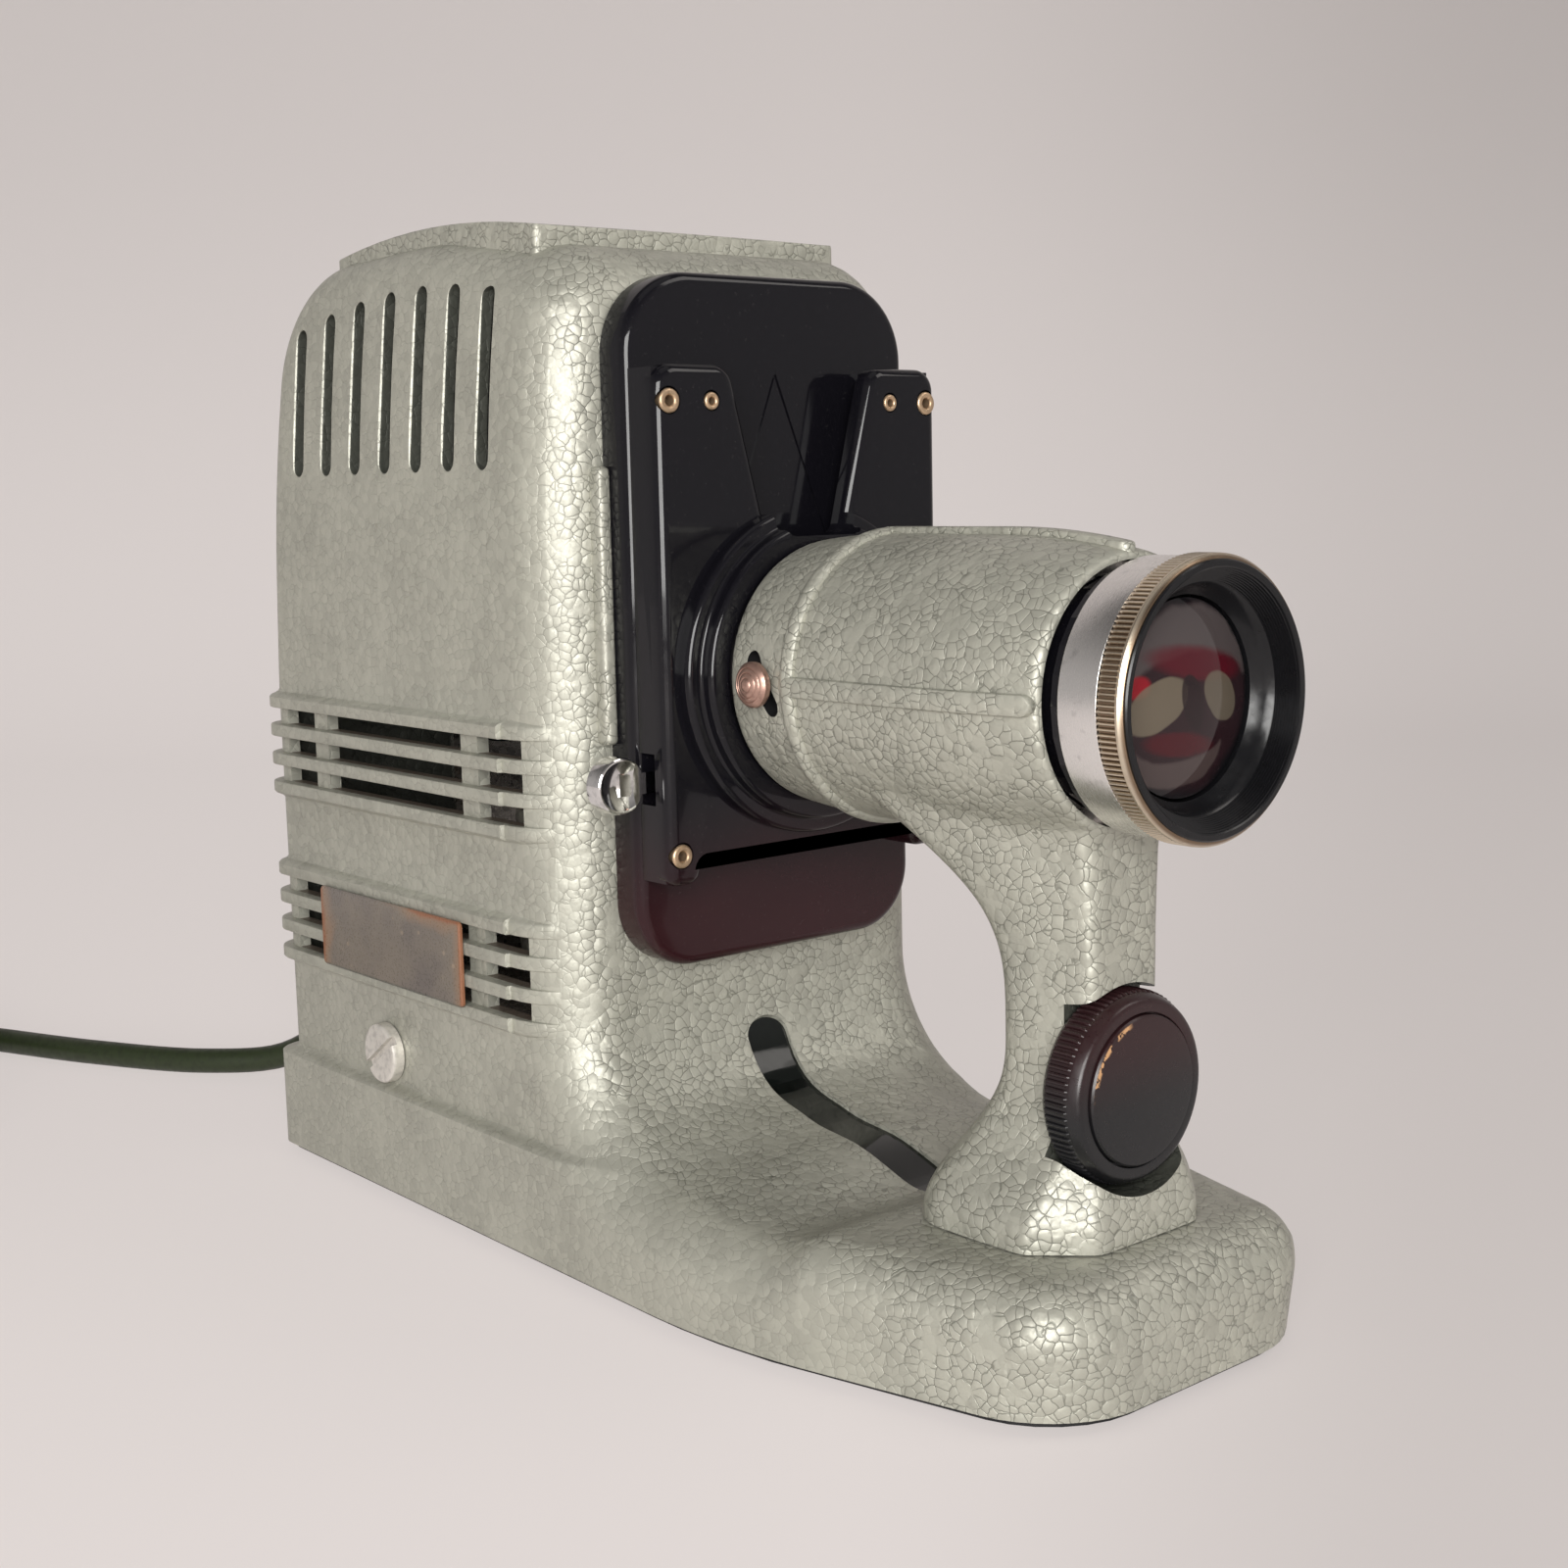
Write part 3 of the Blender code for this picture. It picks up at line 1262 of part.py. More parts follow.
def rackPost():
    """The post: teeth face the pinion, a tooth at the height of its axis."""
    tip = pitch_radius - gear_module * 0.8 + tooth_play
    root_x = pitch_radius + gear_module + tooth_play
    points = [(root_x, -fit_gap)]
    first = knob_z - rack_below_count * tooth_pitch
    for tooth in range(rack_tooth_count):
        z = first + tooth * tooth_pitch
        points += [(root_x, z - tooth_pitch * 0.36), (tip, z - tooth_pitch * 0.12),
                   (tip, z + tooth_pitch * 0.12), (root_x, z + tooth_pitch * 0.36)]
    points += [(root_x, rack_top), (rack_right, rack_top), (rack_right, -fit_gap)]
    post = finish("rack_post", prism(points, "y", rack_y - rack_half_depth, rack_y + rack_half_depth),
                  steel_look, (rack_middle, rack_y, floor), smooth=False)
    pad = [(0.0, floor), (lift_pad_radius - fit_gap * 4, floor), (lift_pad_radius, floor + fit_gap * 4),
           (lift_pad_radius, -fit_gap * 2), (0.0, -fit_gap * 2)]
    finish("tilt_foot", lathe(pad, "z", (rack_middle, rack_y), 32), rubber_look, (rack_middle, rack_y, floor))
    return post


# slide stage

def stageRearPlate():
    high = housing_front - fit_gap
    plan = loop([(-stage_half_width, stage_bottom, stage_bottom_corner),
                 (stage_half_width, stage_bottom, stage_bottom_corner),
                 (stage_half_width, stage_top, stage_top_corner),
                 (-stage_half_width, stage_top, stage_top_corner)])
    plate = finish("stage_rear_plate", prism(plan, "y", stage_front, high), black_look)
    bevelEdges(plate, stage_face_edge)
    cuts = [prism(circle((0.0, axis_z), beam_radius), "y", stage_front - overrun, high + overrun)]
    modify(plate, merge(*cuts), "DIFFERENCE", "cut_rear_plate")
    return plate


def bevelEdges(target, width):
    """Round a plate's edges that face the screen."""
    mesh = bmesh.new()
    mesh.from_mesh(target.data)
    front = min(spot.co.y for spot in mesh.verts)
    chosen = [edge for edge in mesh.edges
              if all(abs(spot.co.y - front) < fit_gap * 0.1 for spot in edge.verts)]
    bmesh.ops.bevel(mesh, geom=chosen, offset=width, segments=2, profile=0.5, affect="EDGES")
    mesh.to_mesh(target.data)
    mesh.free()
    target.data.shade_smooth()
    target.data.set_sharp_from_angle(angle=sharp_angle)


def stageFrontPlate():
    """Front plate with two ears, the finger notch between them, tabs below and side walls behind."""
    half = stage_half_width
    tab = plate_bottom - plate_tab_drop
    outline = loop([
        (-half, tab, tab_corner), (-half + plate_tab_width, tab, tab_corner),
        (-half + plate_tab_width, plate_bottom, tab_corner), (half - plate_tab_width, plate_bottom,
                                                              tab_corner),
        (half - plate_tab_width, tab, tab_corner), (half, tab, tab_corner),
        (half, plate_top, plate_corner), (notch_top_half, plate_top, plate_corner),
        (notch_low_half, notch_low_z, tab_corner), (-notch_low_half, notch_low_z, tab_corner),
        (-notch_top_half, plate_top, plate_corner), (-half, plate_top, plate_corner)])
    plate = finish("stage_front_plate", prism(outline, "y", plate_front, plate_rear), black_look)
    bevelEdges(plate, plate_edge)
    low, high, out = tab + wall_relief, plate_top - wall_relief, half - wall_relief
    tab_in, mid = half - plate_tab_width + wall_relief, plate_bottom + wall_relief
    ledge = lever_axis_z - lever_clear
    rest = lever_axis_z + lever_half_height + fit_gap
    walls = [(-out, low), (-tab_in, low), (-tab_in, mid), (tab_in, mid), (tab_in, low), (out, low),
             (out, high),
             (channel_half, high), (channel_half, rest), (rest_inner, rest), (rest_inner, ledge),
             (-channel_half, ledge), (-channel_half, high), (-out, high)]
    modify(plate, prism(walls, "y", plate_rear - overrun, stage_front - fit_gap), "UNION",
           "add_channel_walls")
    collar = [(beam_radius - overrun, plate_front + overrun), (collar_outer, plate_front + overrun),
              (collar_outer, collar_step + collar_edge), (collar_outer - collar_edge, collar_step),
              (collar_inner + collar_edge, collar_step), (collar_inner, collar_step - collar_edge),
              (collar_inner, collar_front + collar_edge), (collar_inner - collar_edge, collar_front),
              (collar_bore, collar_front), (beam_radius - overrun, collar_step)]
    modify(plate, lathe(collar, "y", (0.0, axis_z), tube_steps), "UNION", "add_collar")
    beam = prism(circle((0.0, axis_z), beam_radius, tube_steps), "y", collar_front - overrun,
                 stage_front + overrun)
    modify(plate, beam, "DIFFERENCE", "cut_beam")
    slack = lever_half_depth + fit_gap * 4
    cuts = [notchCut(),
            box((-half - overrun, -lever_room), (lever_y - slack, stage_front + overrun),
                (lever_window_low, lever_window_high)),
            prism(circle((lever_axis_x, lever_axis_z), lever_pin_radius + fit_gap, 24), "y",
                  plate_rear - pin_seat, lever_y - slack + overrun)]
    for x, z, radius in eyeletPlaces().values():
        cuts.append(prism(circle((x, z), radius * eyelet_stem_share + fit_gap, 10), "y",
                          plate_front - overrun, plate_front + eyelet_depth + fit_gap))
    modify(plate, merge(*cuts), "DIFFERENCE", "cut_front_plate")
    room = box((-channel_half - lever_room_depth, -channel_half + overrun),
               (plate_rear - fit_gap, stage_front + overrun),
               (ledge - fit_gap, lever_window_high - fit_gap))
    modify(plate, room, "DIFFERENCE", "cut_lever_room")
    return plate


def notchCut():
    """The finger notch, cut on through the collar's upper part."""
    rise = (notch_top_half - notch_low_half) / (plate_top - notch_low_z)
    top = plate_top + overrun
    low = notch_low_z - notch_ease
    low_half = notch_low_half + notch_ease
    top_half = notch_low_half + rise * (top - notch_low_z) + notch_ease
    outline = [(-low_half, low), (low_half, low), (top_half, top), (-top_half, top)]
    return prism(outline, "y", collar_front - overrun, stage_front + overrun)


def eyeletPlaces():
    return {"eyelet_top_left": (-eyelet_x, eyelet_top_z, eyelet_radius),
            "eyelet_top_right": (eyelet_x, eyelet_top_z, eyelet_radius),
            "eyelet_low_left": (-eyelet_x, eyelet_low_z, eyelet_radius),
            "eyelet_low_right": (eyelet_x, eyelet_low_z, eyelet_radius),
            "eyelet_small_left": (-eyelet_small_x, eyelet_top_z, eyelet_small),
            "eyelet_small_right": (eyelet_small_x, eyelet_top_z, eyelet_small)}


def eyelets():
    for name, (x, z, radius) in eyeletPlaces().items():
        bore = radius * eyelet_stem_share * eyelet_bore_share
        stem = radius * eyelet_stem_share
        face = plate_front - fit_gap
        profile = [(bore, face - eyelet_proud * 0.5), ((bore + radius) / 2, face - eyelet_proud),
                   (radius, face - eyelet_proud * 0.4), (radius, face), (stem, face),
                   (stem, plate_front + eyelet_depth), (bore, plate_front + eyelet_depth)]
        finish(name, lathe(profile, "y", (x, z), 10), brass_look)


def slideSprings():
    """A bowed leaf in each side of the slide channel, held behind the top eyelets."""
    for name, side in (("slide_spring_left", -1), ("slide_spring_right", 1)):
        low = axis_z - slide_width / 4
        high = axis_z + slide_width / 4
        steps = 8
        base = plate_rear + fit_gap
        front, back = [], []
        for step in range(steps + 1):
            share = step / steps
            z = low + (high - low) * share
            y = base + spring_bow * math.sin(math.pi * share)
            front.append((y, z))
            back.append((y + spring_thick, z))
        inner = channel_half - fit_gap - spring_width
        x = sorted((side * inner, side * (channel_half - fit_gap)))
        finish(name, prism(front + list(reversed(back)), "x", *x), steel_look)


def ejectLever():
    """The lever: dished thumb pad outside, arm through the wall's window, lifting arm under the slide."""
    x0, z0 = lever_axis_x, lever_axis_z
    top = z0 + lever_half_height
    low = z0 - lever_half_height
    high = lever_pad_z + lever_arm_half
    under = lever_pad_z - lever_arm_half
    bar = [(lever_pad_x, under), (lever_bend_x, under), (x0 - lever_eye, low), (x0, z0 - lever_eye),
           (x0 + lever_eye, low), (lever_tip_x, low + lever_half_height), (lever_tip_x, top),
           (x0 + lever_eye, top), (x0 + lever_half_height, z0 + lever_eye), (lever_bend_x, high),
           (lever_pad_x, high)]
    lever = finish("eject_lever", prism(bar, "y", lever_y - lever_half_depth, lever_y + lever_half_depth),
                   bright_look, (x0, lever_y, z0))
    front = lever_y - lever_pad_half_depth
    disc = [(min(x, lever_pad_flat), z) for x, z in circle((lever_pad_x, lever_pad_z), lever_pad_radius,
                                                           24)]
    modify(lever, prism(disc, "y", front, lever_y + lever_pad_half_depth), "UNION", "add_pad")
    rim = lever_pad_radius - lever_pad_rim
    dish = [(rim * share, front + lever_dish * (1 - share ** 2)) for share in dome_shares]
    dish += [(rim, front - overrun), (0.0, front - overrun)]
    modify(lever, lathe(dish, "y", (lever_pad_x, lever_pad_z), 24), "DIFFERENCE", "cut_dish")
    hole = prism(circle((x0, z0), lever_pin_radius + fit_gap, 24), "y", lever_y - lever_eye,
                 lever_y + lever_eye)
    modify(lever, hole, "DIFFERENCE", "cut_lever_eye")
    pin = [(0.0, plate_rear - pin_seat + fit_gap), (lever_pin_radius, plate_rear - pin_seat + fit_gap),
           (lever_pin_radius, stage_front - fit_gap), (0.0, stage_front - fit_gap)]
    finish("lever_pin", lathe(pin, "y", (x0, z0), 20), steel_look)
    return lever


# trim and fastenings

def coinScrews():
    for name, side in (("coin_screw_left", -1), ("coin_screw_right", 1)):
        seat = castingHalf(coin_y, coin_z) + fit_gap
        profile = [(0.0, side * (seat + coin_head)), (coin_radius - coin_head / 5,
                                                      side * (seat + coin_head)),
                   (coin_radius, side * (seat + coin_head * 0.8)), (coin_radius, side * seat),
                   (coin_shank, side * seat), (coin_shank, side * (seat - coin_shank_length)),
                   (0.0, side * (seat - coin_shank_length))]
        screw = finish(name, lathe(profile, "x", (coin_y, coin_z), 32), steel_look)
        deep = seat + coin_head - coin_slot_depth
        half = coin_slot_width / 2
        turn = math.radians(35.0)
        reach = coin_radius + overrun
        blade = []
        for a, b in ((-reach, -half), (reach, -half), (reach, half), (-reach, half)):
            blade.append((coin_y - a * math.cos(turn) + b * math.sin(turn),
                          coin_z + a * math.sin(turn) + b * math.cos(turn)))
        x = sorted((side * deep, side * (seat + coin_head + overrun)))
        modify(screw, prism(blade, "x", *x), "DIFFERENCE", "cut_" + name)


def labelWindow():
    """A plain celluloid window on the lower louvres."""
    out = -housing_half_width - louvre_proud - fit_gap
    (y0, y1), (z0, z1) = window_y, window_z
    corner = window_thick
    outline = loop([(y0, z0, corner), (y1, z0, corner), (y1, z1, corner), (y0, z1, corner)])
    return finish("label_window", prism(outline, "x", out - window_thick, out), window_look)


def slotLiner():
    """A gloss strip under the slot of the swoop."""
    outline, edges = castingOutline()
    near = [point for point in outline
            if swoop_slot_end - liner_margin <= point.x <= housing_front + fit_gap
            and toe_z / 2 < point.y < liner_top]
    outer = stretch(near, wall + fit_gap)
    inner = stretch(near, wall + fit_gap + liner_thick)
    half = swoop_slot_width / 2 + liner_margin
    points = [(p.x, p.y) for p in outer] + [(p.x, p.y) for p in reversed(inner)]
    return finish("slot_liner", prism(points, "x", -half, half), black_look)


def standBolt():
    low = toe_z - wall - fit_gap - bolt_head
    profile = [(0.0, low), (bolt_head_radius, low), (bolt_head_radius, low + bolt_head),
               (bolt_radius, low + bolt_head), (bolt_radius, toe_z + bolt_depth - fit_gap),
               (0.0, toe_z + bolt_depth - fit_gap)]
    return finish("stand_bolt", lathe(profile, "z", (0.0, bolt_y), 24), steel_look)


# condenser and lamp

def condenser():
    axis = (0.0, axis_z)
    front = stage_rear_face + fit_gap
    back = front + condenser_length
    mount = [(condenser_bore - condenser_lip, front), (condenser_radius, front), (condenser_radius, back),
             (condenser_bore, back), (condenser_bore, front + condenser_lip),
             (condenser_bore - condenser_lip, front + condenser_lip)]
    finish("condenser_mount", lathe(mount, "y", axis), matt_look)
    y = front + condenser_lip + fit_gap
    profile = [(lens_radius * share,
                y + lens_thick - (lens_thick - lens_edge) * share ** 2) for share in dome_shares]
    profile = [(0.0, y)] + [(lens_radius, y)] + list(reversed(profile))
    finish("condenser_front_lens", lathe(profile, "y", axis), glass_look)
    y += lens_thick + fit_gap
    heat = [(0.0, y), (lens_radius, y), (lens_radius, y + heat_thick), (0.0, y + heat_thick)]
    finish("heat_glass", lathe(heat, "y", axis), glass_look)
    y += heat_thick + fit_gap + lens_thick
    profile = [(lens_radius * share,
                y - lens_thick + (lens_thick - lens_edge) * share ** 2) for share in dome_shares]
    profile += [(lens_radius, y), (0.0, y)]
    finish("condenser_rear_lens", lathe(profile, "y", axis), glass_look)


def lamp():
    axis = (0.0, lamp_y)
    middle = (bulb_top + axis_z) / 2
    bulb = [(0.0, bulb_low), (bulb_neck, bulb_low), (bulb_neck, bulb_low + bulb_neck * 0.6),
            (bulb_radius, axis_z - bulb_radius * 0.8), (bulb_radius, middle)]
    for share in dome_shares[1:]:
        turn = math.pi / 2 * share
        bulb.append((bulb_radius * math.cos(turn) if share < 1 else 0.0,
                     middle + (bulb_top - middle) * math.sin(turn)))
    finish("lamp_bulb", lathe(bulb, "z", axis, 32), glass_look)
    cap = [(0.0, cap_lamp_low), (cap_lamp_radius, cap_lamp_low), (cap_lamp_radius, bulb_low - fit_gap),
           (0.0, bulb_low - fit_gap)]
    finish("lamp_cap", lathe(cap, "z", axis, 32), brass_look)
    bore = cap_lamp_radius + fit_gap
    floor_z = cap_lamp_low - fit_gap
    holder = [(0.0, holder_low), (holder_radius, holder_low), (holder_radius, bulb_low - holder_wall * 2),
              (bore, bulb_low - holder_wall * 2), (bore, floor_z), (0.0, floor_z)]
    finish("lamp_holder", lathe(holder, "z", axis, 32), ceramic_look)


def lampChassis():
    """Folded sheet held by the two coin screws, with the lamp's pillar and the reflector's post."""
    inner = castingHalf(coin_y, coin_z) - wall - fit_gap
    base = box((-inner, inner), (chassis_front, chassis_rear), (chassis_z, chassis_z + chassis_thick))
    chassis = finish("lamp_chassis", base, steel_look, smooth=False)
    adds = []
    for side in (-1, 1):
        x = sorted((side * inner, side * (inner - chassis_flange)))
        adds.append(box(x, (chassis_front, chassis_rear), (chassis_low, chassis_flange_top)))
    adds.append(prism(circle((0.0, lamp_y), stand_off_radius, 24), "z", chassis_z + chassis_thick / 2,
                      holder_low - fit_gap))
    adds.append(box((-chassis_post_half, chassis_post_half), (chassis_rear - chassis_thick, chassis_rear),
                    (chassis_z + chassis_thick / 2, chassis_post_top)))
    modify(chassis, merge(*adds), "UNION", "add_chassis")
    reach = inner + overrun
    hole = prism(circle((coin_y, coin_z), coin_shank + fit_gap, 24), "x", -reach, reach)
    modify(chassis, hole, "DIFFERENCE", "cut_chassis")
    return chassis


def reflector():
    axis = (0.0, axis_z)
    back = chassis_rear - chassis_thick - fit_gap
    outer = [(reflector_radius * share, back - reflector_depth * share ** 2) for share in dome_shares]
    inner = [(reflector_radius * share,
              back - reflector_thick - reflector_depth * share ** 2) for share in dome_shares]
    profile = outer + list(reversed(inner))
    return finish("reflector", lathe(profile, "y", axis), bright_look)


def baffles():
    """Sheets behind the upright slots, folded out to the wall above and below."""
    for name, side in (("light_baffle_left", -1), ("light_baffle_right", 1)):
        seat_low = castingHalf(lamp_y, baffle_low) - wall - fit_gap
        seat_high = castingHalf(lamp_y, baffle_high) - wall - fit_gap
        inner = seat_high - baffle_in
        outer = inner + baffle_thick
        points = [(seat_low, baffle_low), (seat_low, baffle_low + baffle_thick),
                  (outer, baffle_low + baffle_thick), (outer, baffle_high - baffle_thick),
                  (seat_high, baffle_high - baffle_thick), (seat_high, baffle_high),
                  (inner, baffle_high), (inner, baffle_low)]
        outline = [(side * x, z) for x, z in points]
        finish(name, prism(outline, "y", baffle_front, baffle_rear), matt_look, smooth=False)


# mains lead

def strainRelief():
    start = rear_skirt_y
    profile = [(0.0, start - wall - gland_flange)]
    profile += [(gland_root_radius, start - wall - gland_flange), (gland_root_radius, start + fit_gap),
                (gland_flange_radius, start + fit_gap), (gland_flange_radius,
                                                         start + fit_gap + gland_flange)]
    run_start = start + fit_gap + gland_flange
    for rib in range(gland_rib_count):
        for share, drawn in ((0.0, 0.0), (0.6, 0.0), (0.6, 1.0), (1.0, 1.0)):
            place = (rib + share) / gland_rib_count
            radius = gland_root_radius + (gland_tip_radius - gland_root_radius) * place
            profile.append((radius - drawn * gland_rib_depth, run_start + gland_length * place))
    end = run_start + gland_length
    profile += [(gland_tip_radius, end + fit_gap), (gland_tip_radius, end + gland_flange)]
    profile += [(0.0, end + gland_flange)]
    return finish("strain_relief", lathe(profile, "y", (gland_x, gland_z), 12), rubber_look)


def cordRoute():
    """Places that the free stretch passes, from the strain relief to the coil."""
    start = at(gland_x, gland_end, gland_z)
    ahead = at(gland_x, gland_end + cord_diameter, gland_z)
    meet, way = coilPoint(0.0), coilWay()
    low = floor + cord_radius
    return [start, ahead,
            *[at(gland_x - left, gland_end + back, low + above)
              for left, back, above in zip(way_left, way_back, way_above)],
            meet - way * (cord_diameter * 3) + at(0, 0, -tie_thick),
            meet - way * cord_diameter, meet - way * fit_gap]


def coilPoint(turn):
    """Centre line of the coil at an angle from its start."""
    inward = 2 * math.pi * coil_turn_count
    inner = coil_outer - coil_pitch * coil_turn_count
    if turn <= inward:
        radius, z = coil_outer - coil_pitch * turn / (2 * math.pi), coil_z
    elif turn <= inward + math.pi:
        radius = inner
        z = coil_z + coil_layer_rise * blend(turn, inward, inward + math.pi)
    else:
        radius = inner + coil_pitch * (turn - inward - math.pi) / (2 * math.pi)
        z = coil_z + coil_layer_rise
    angle = coil_start_angle + turn
    return at(coil_centre[0] + radius * math.cos(angle), coil_centre[1] + radius * math.sin(angle), z)


def coilWay():
    return at(-math.sin(coil_start_angle), math.cos(coil_start_angle), 0.0)


def smoothRoute(places, count):
    """Points read from a smooth curve through the places."""
    padded = [places[0] * 2 - places[1]] + places + [places[-1] * 2 - places[-2]]
    knots = [0.0]
    for before, after in zip(padded, padded[1:]):
        knots.append(knots[-1] + math.sqrt((after - before).length))
    dense = []
    for index in range(1, len(padded) - 2):
        p, t = padded[index - 1:index + 3], knots[index - 1:index + 3]
        for step in range(16):
            now = t[1] + (t[2] - t[1]) * step / 16
            a = [p[k] * ((t[k + 1] - now) / (t[k + 1] - t[k])) + p[k + 1] * ((now - t[k]) / (t[k + 1] - t[k]))
                 for k in range(3)]
            b = [a[k] * ((t[k + 2] - now) / (t[k + 2] - t[k])) + a[k + 1] * ((now - t[k]) / (t[k + 2] - t[k]))
                 for k in range(2)]
            dense.append(b[0] * ((t[2] - now) / (t[2] - t[1])) + b[1] * ((now - t[1]) / (t[2] - t[1])))
    dense.append(places[-1])
    run = arcLengths(dense)
    picked = []
    index = 0
    for step in range(count + 1):
        aim = run[-1] * step / count
        while index < len(run) - 2 and run[index + 1] < aim:
            index += 1
        share = (aim - run[index]) / (run[index + 1] - run[index])
        picked.append(dense[index].lerp(dense[index + 1], share))
    return picked, run[-1]


def tube(name, points, resolution):
    curve = bpy.data.curves.new(name, "CURVE")
    curve.dimensions = "3D"
    curve.bevel_depth = cord_radius
    curve.bevel_resolution = resolution
    curve.use_fill_caps = True
    line = curve.splines.new("POLY")
    line.points.add(len(points) - 1)
    for spot, place in zip(line.points, points):
        spot.co = (*place, 1.0)
    curve.materials.append(material(name, *cord_look))
    made = bpy.data.objects.new(name, curve)
    bpy.context.scene.collection.objects.link(made)
    made.parent = root
    return made


def mainsLead():
    places = cordRoute()
    points, length = smoothRoute(places[1:-1], way_steps)
    tube("mains_cord", [places[0] + at(0, fit_gap, 0)] + points + [places[-1]], 2)
    total = (2 * coil_turn_count + 0.5) * 2 * math.pi
    steps = round(total / (2 * math.pi) * coil_step_count)
    centre = [coilPoint(total * step / steps) for step in range(steps + 1)]
    way_in = coilWay()
    way_out = -coilWay()
    leave = coilPoint(total) + way_out * tail_length
    line = [centre[0]] + [centre[0] + way_in * (cord_diameter * 0.5)] + centre[2:]
    line += [leave - way_out * (tail_length * share) for share in (0.75, 0.5, 0.25, 0.0)]
    tube("cord_coil", line, 1)
    gaps = [(here - there).length for index, here in enumerate(centre)
            for there in centre[index + coil_step_count // 2:]]
    around = sum((after - before).length for before, after in zip(centre, centre[1:]))
    print("cord: free stretch %.0f mm, coil %.0f mm, least gap of the coil to itself %.2f mm"
          % (length / mm, around / mm, (min(gaps) - cord_diameter) / mm))
    cordTie()
    mainsPlug(leave + way_out * fit_gap, way_out)


def cordTie():
    """A strap round the coil's two layers."""
    angle = coil_start_angle + tie_turn
    turn = tie_turn % (2 * math.pi)
    share = turn / (2 * math.pi)
    radii = [coil_outer - coil_pitch * (share + lap) for lap in range(coil_turn_count)]
    inner = coil_outer - coil_pitch * coil_turn_count
    back_share = (turn - math.pi) / (2 * math.pi)
    radii += [inner + coil_pitch * (back_share + lap) for lap in range(coil_turn_count)]
    slack = cord_radius + fit_gap * 2
    low_r, high_r = min(radii) - slack, max(radii) + slack
    low_z, high_z = coil_z - slack + fit_gap, coil_z + coil_layer_rise + slack
    shape = bmesh.new()
    half = tie_width / 2
    out = Vector((math.cos(angle), math.sin(angle), 0))
    along = Vector((-math.sin(angle), math.cos(angle), 0))
    centre = at(coil_centre[0], coil_centre[1], 0)
    loops = []
    for grow in (0.0, tie_thick):
        for end in (-half, half):
            ring = []
            for r, z in ((low_r - grow, low_z - grow), (high_r + grow, low_z - grow),
                         (high_r + grow, high_z + grow), (low_r - grow, high_z + grow)):
                ring.append(shape.verts.new(centre + out * r + along * end + at(0, 0, z)))
            loops.append(ring)
    for one, two in ((0, 1), (1, 3), (3, 2), (2, 0)):
        for index in range(4):
            after = (index + 1) % 4
            shape.faces.new((loops[one][index], loops[one][after], loops[two][after], loops[two][index]))
    finish("cord_tie", shape, rubber_look, smooth=False)


def mainsPlug(start, way):
    """A flat two-pin plug lying on the table, with its cord neck."""
    side = Vector((-way.y, way.x, 0))
    middle = start.z
    half = middle - floor
    shares = ((0.0, 0.30), (0.22, 0.34), (0.42, 0.80), (0.62, 1.0), (1.0, 1.0))
    shape = bmesh.new()
    rings = []
    for along, wide in shares:
        a = plug_half_width * wide
        b = half if along >= 0.42 else half * 0.62
        ring = []
        for x, z in loop([(-a, -b, plug_corner * wide), (a, -b, plug_corner * wide),
                          (a, b, plug_corner * wide), (-a, b, plug_corner * wide)]):
            ring.append(shape.verts.new(start + way * (plug_length * along) + side * x + at(0, 0, z)))
        rings.append(ring)
    count = len(rings[0])
    for one, two in zip(rings, rings[1:]):
        for index in range(count):
            after = (index + 1) % count
            shape.faces.new((one[index], one[after], two[after], two[index]))
    shape.faces.new(list(reversed(rings[0])))
    shape.faces.new(rings[-1])
    finish("mains_plug", shape, rubber_look)
    for name, hand in (("plug_pin_left", -1), ("plug_pin_right", 1)):
        foot = start + way * (plug_length + fit_gap) + side * (hand * pin_pitch / 2)
        pin = bmesh.new()
        rings = []
        for reach, radius in ((0.0, pin_radius), (pin_length - pin_radius, pin_radius),
                              (pin_length, pin_radius * 0.5)):
            ring = []
            for step in range(16):
                turn = 2 * math.pi * step / 16
                ring.append(pin.verts.new(foot + way * reach + side * (radius * math.cos(turn))
                                          + at(0, 0, radius * math.sin(turn))))
            rings.append(ring)
        for one, two in zip(rings, rings[1:]):
            for index in range(16):
                after = (index + 1) % 16
                pin.faces.new((one[index], one[after], two[after], two[index]))
        pin.faces.new(list(reversed(rings[0])))
        pin.faces.new(rings[-1])
        finish(name, pin, bright_look)


clearScene()
root = bpy.data.objects.new("projector", None)
bpy.context.scene.collection.objects.link(root)
root.location = (0.0, -middle_y, lift)

bodyCasting()
topVentCover()
solePlate()
rubberFeet()
lensStand()
standBolt()
focusSleeve()
focusPin()
lensParts()
knobParts()
rackPost()
stageRearPlate()
stageFrontPlate()
eyelets()
slideSprings()
ejectLever()
coinScrews()
labelWindow()
slotLiner()
condenser()
lamp()
lampChassis()
reflector()
baffles()
strainRelief()
mainsLead()
bpy.context.view_layer.update()

print("root at %.4f %.4f %.4f" % tuple(root.location))
for name in ("focus_sleeve", "focus_pin", "lens_barrel", "tilt_knob", "rack_post", "eject_lever"):
    place = bpy.data.objects[name].matrix_world.translation
    print("axis of %s at %.5f %.5f %.5f" % (name, *place))
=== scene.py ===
import math

import bmesh
import bpy
from mathutils import Matrix, Vector


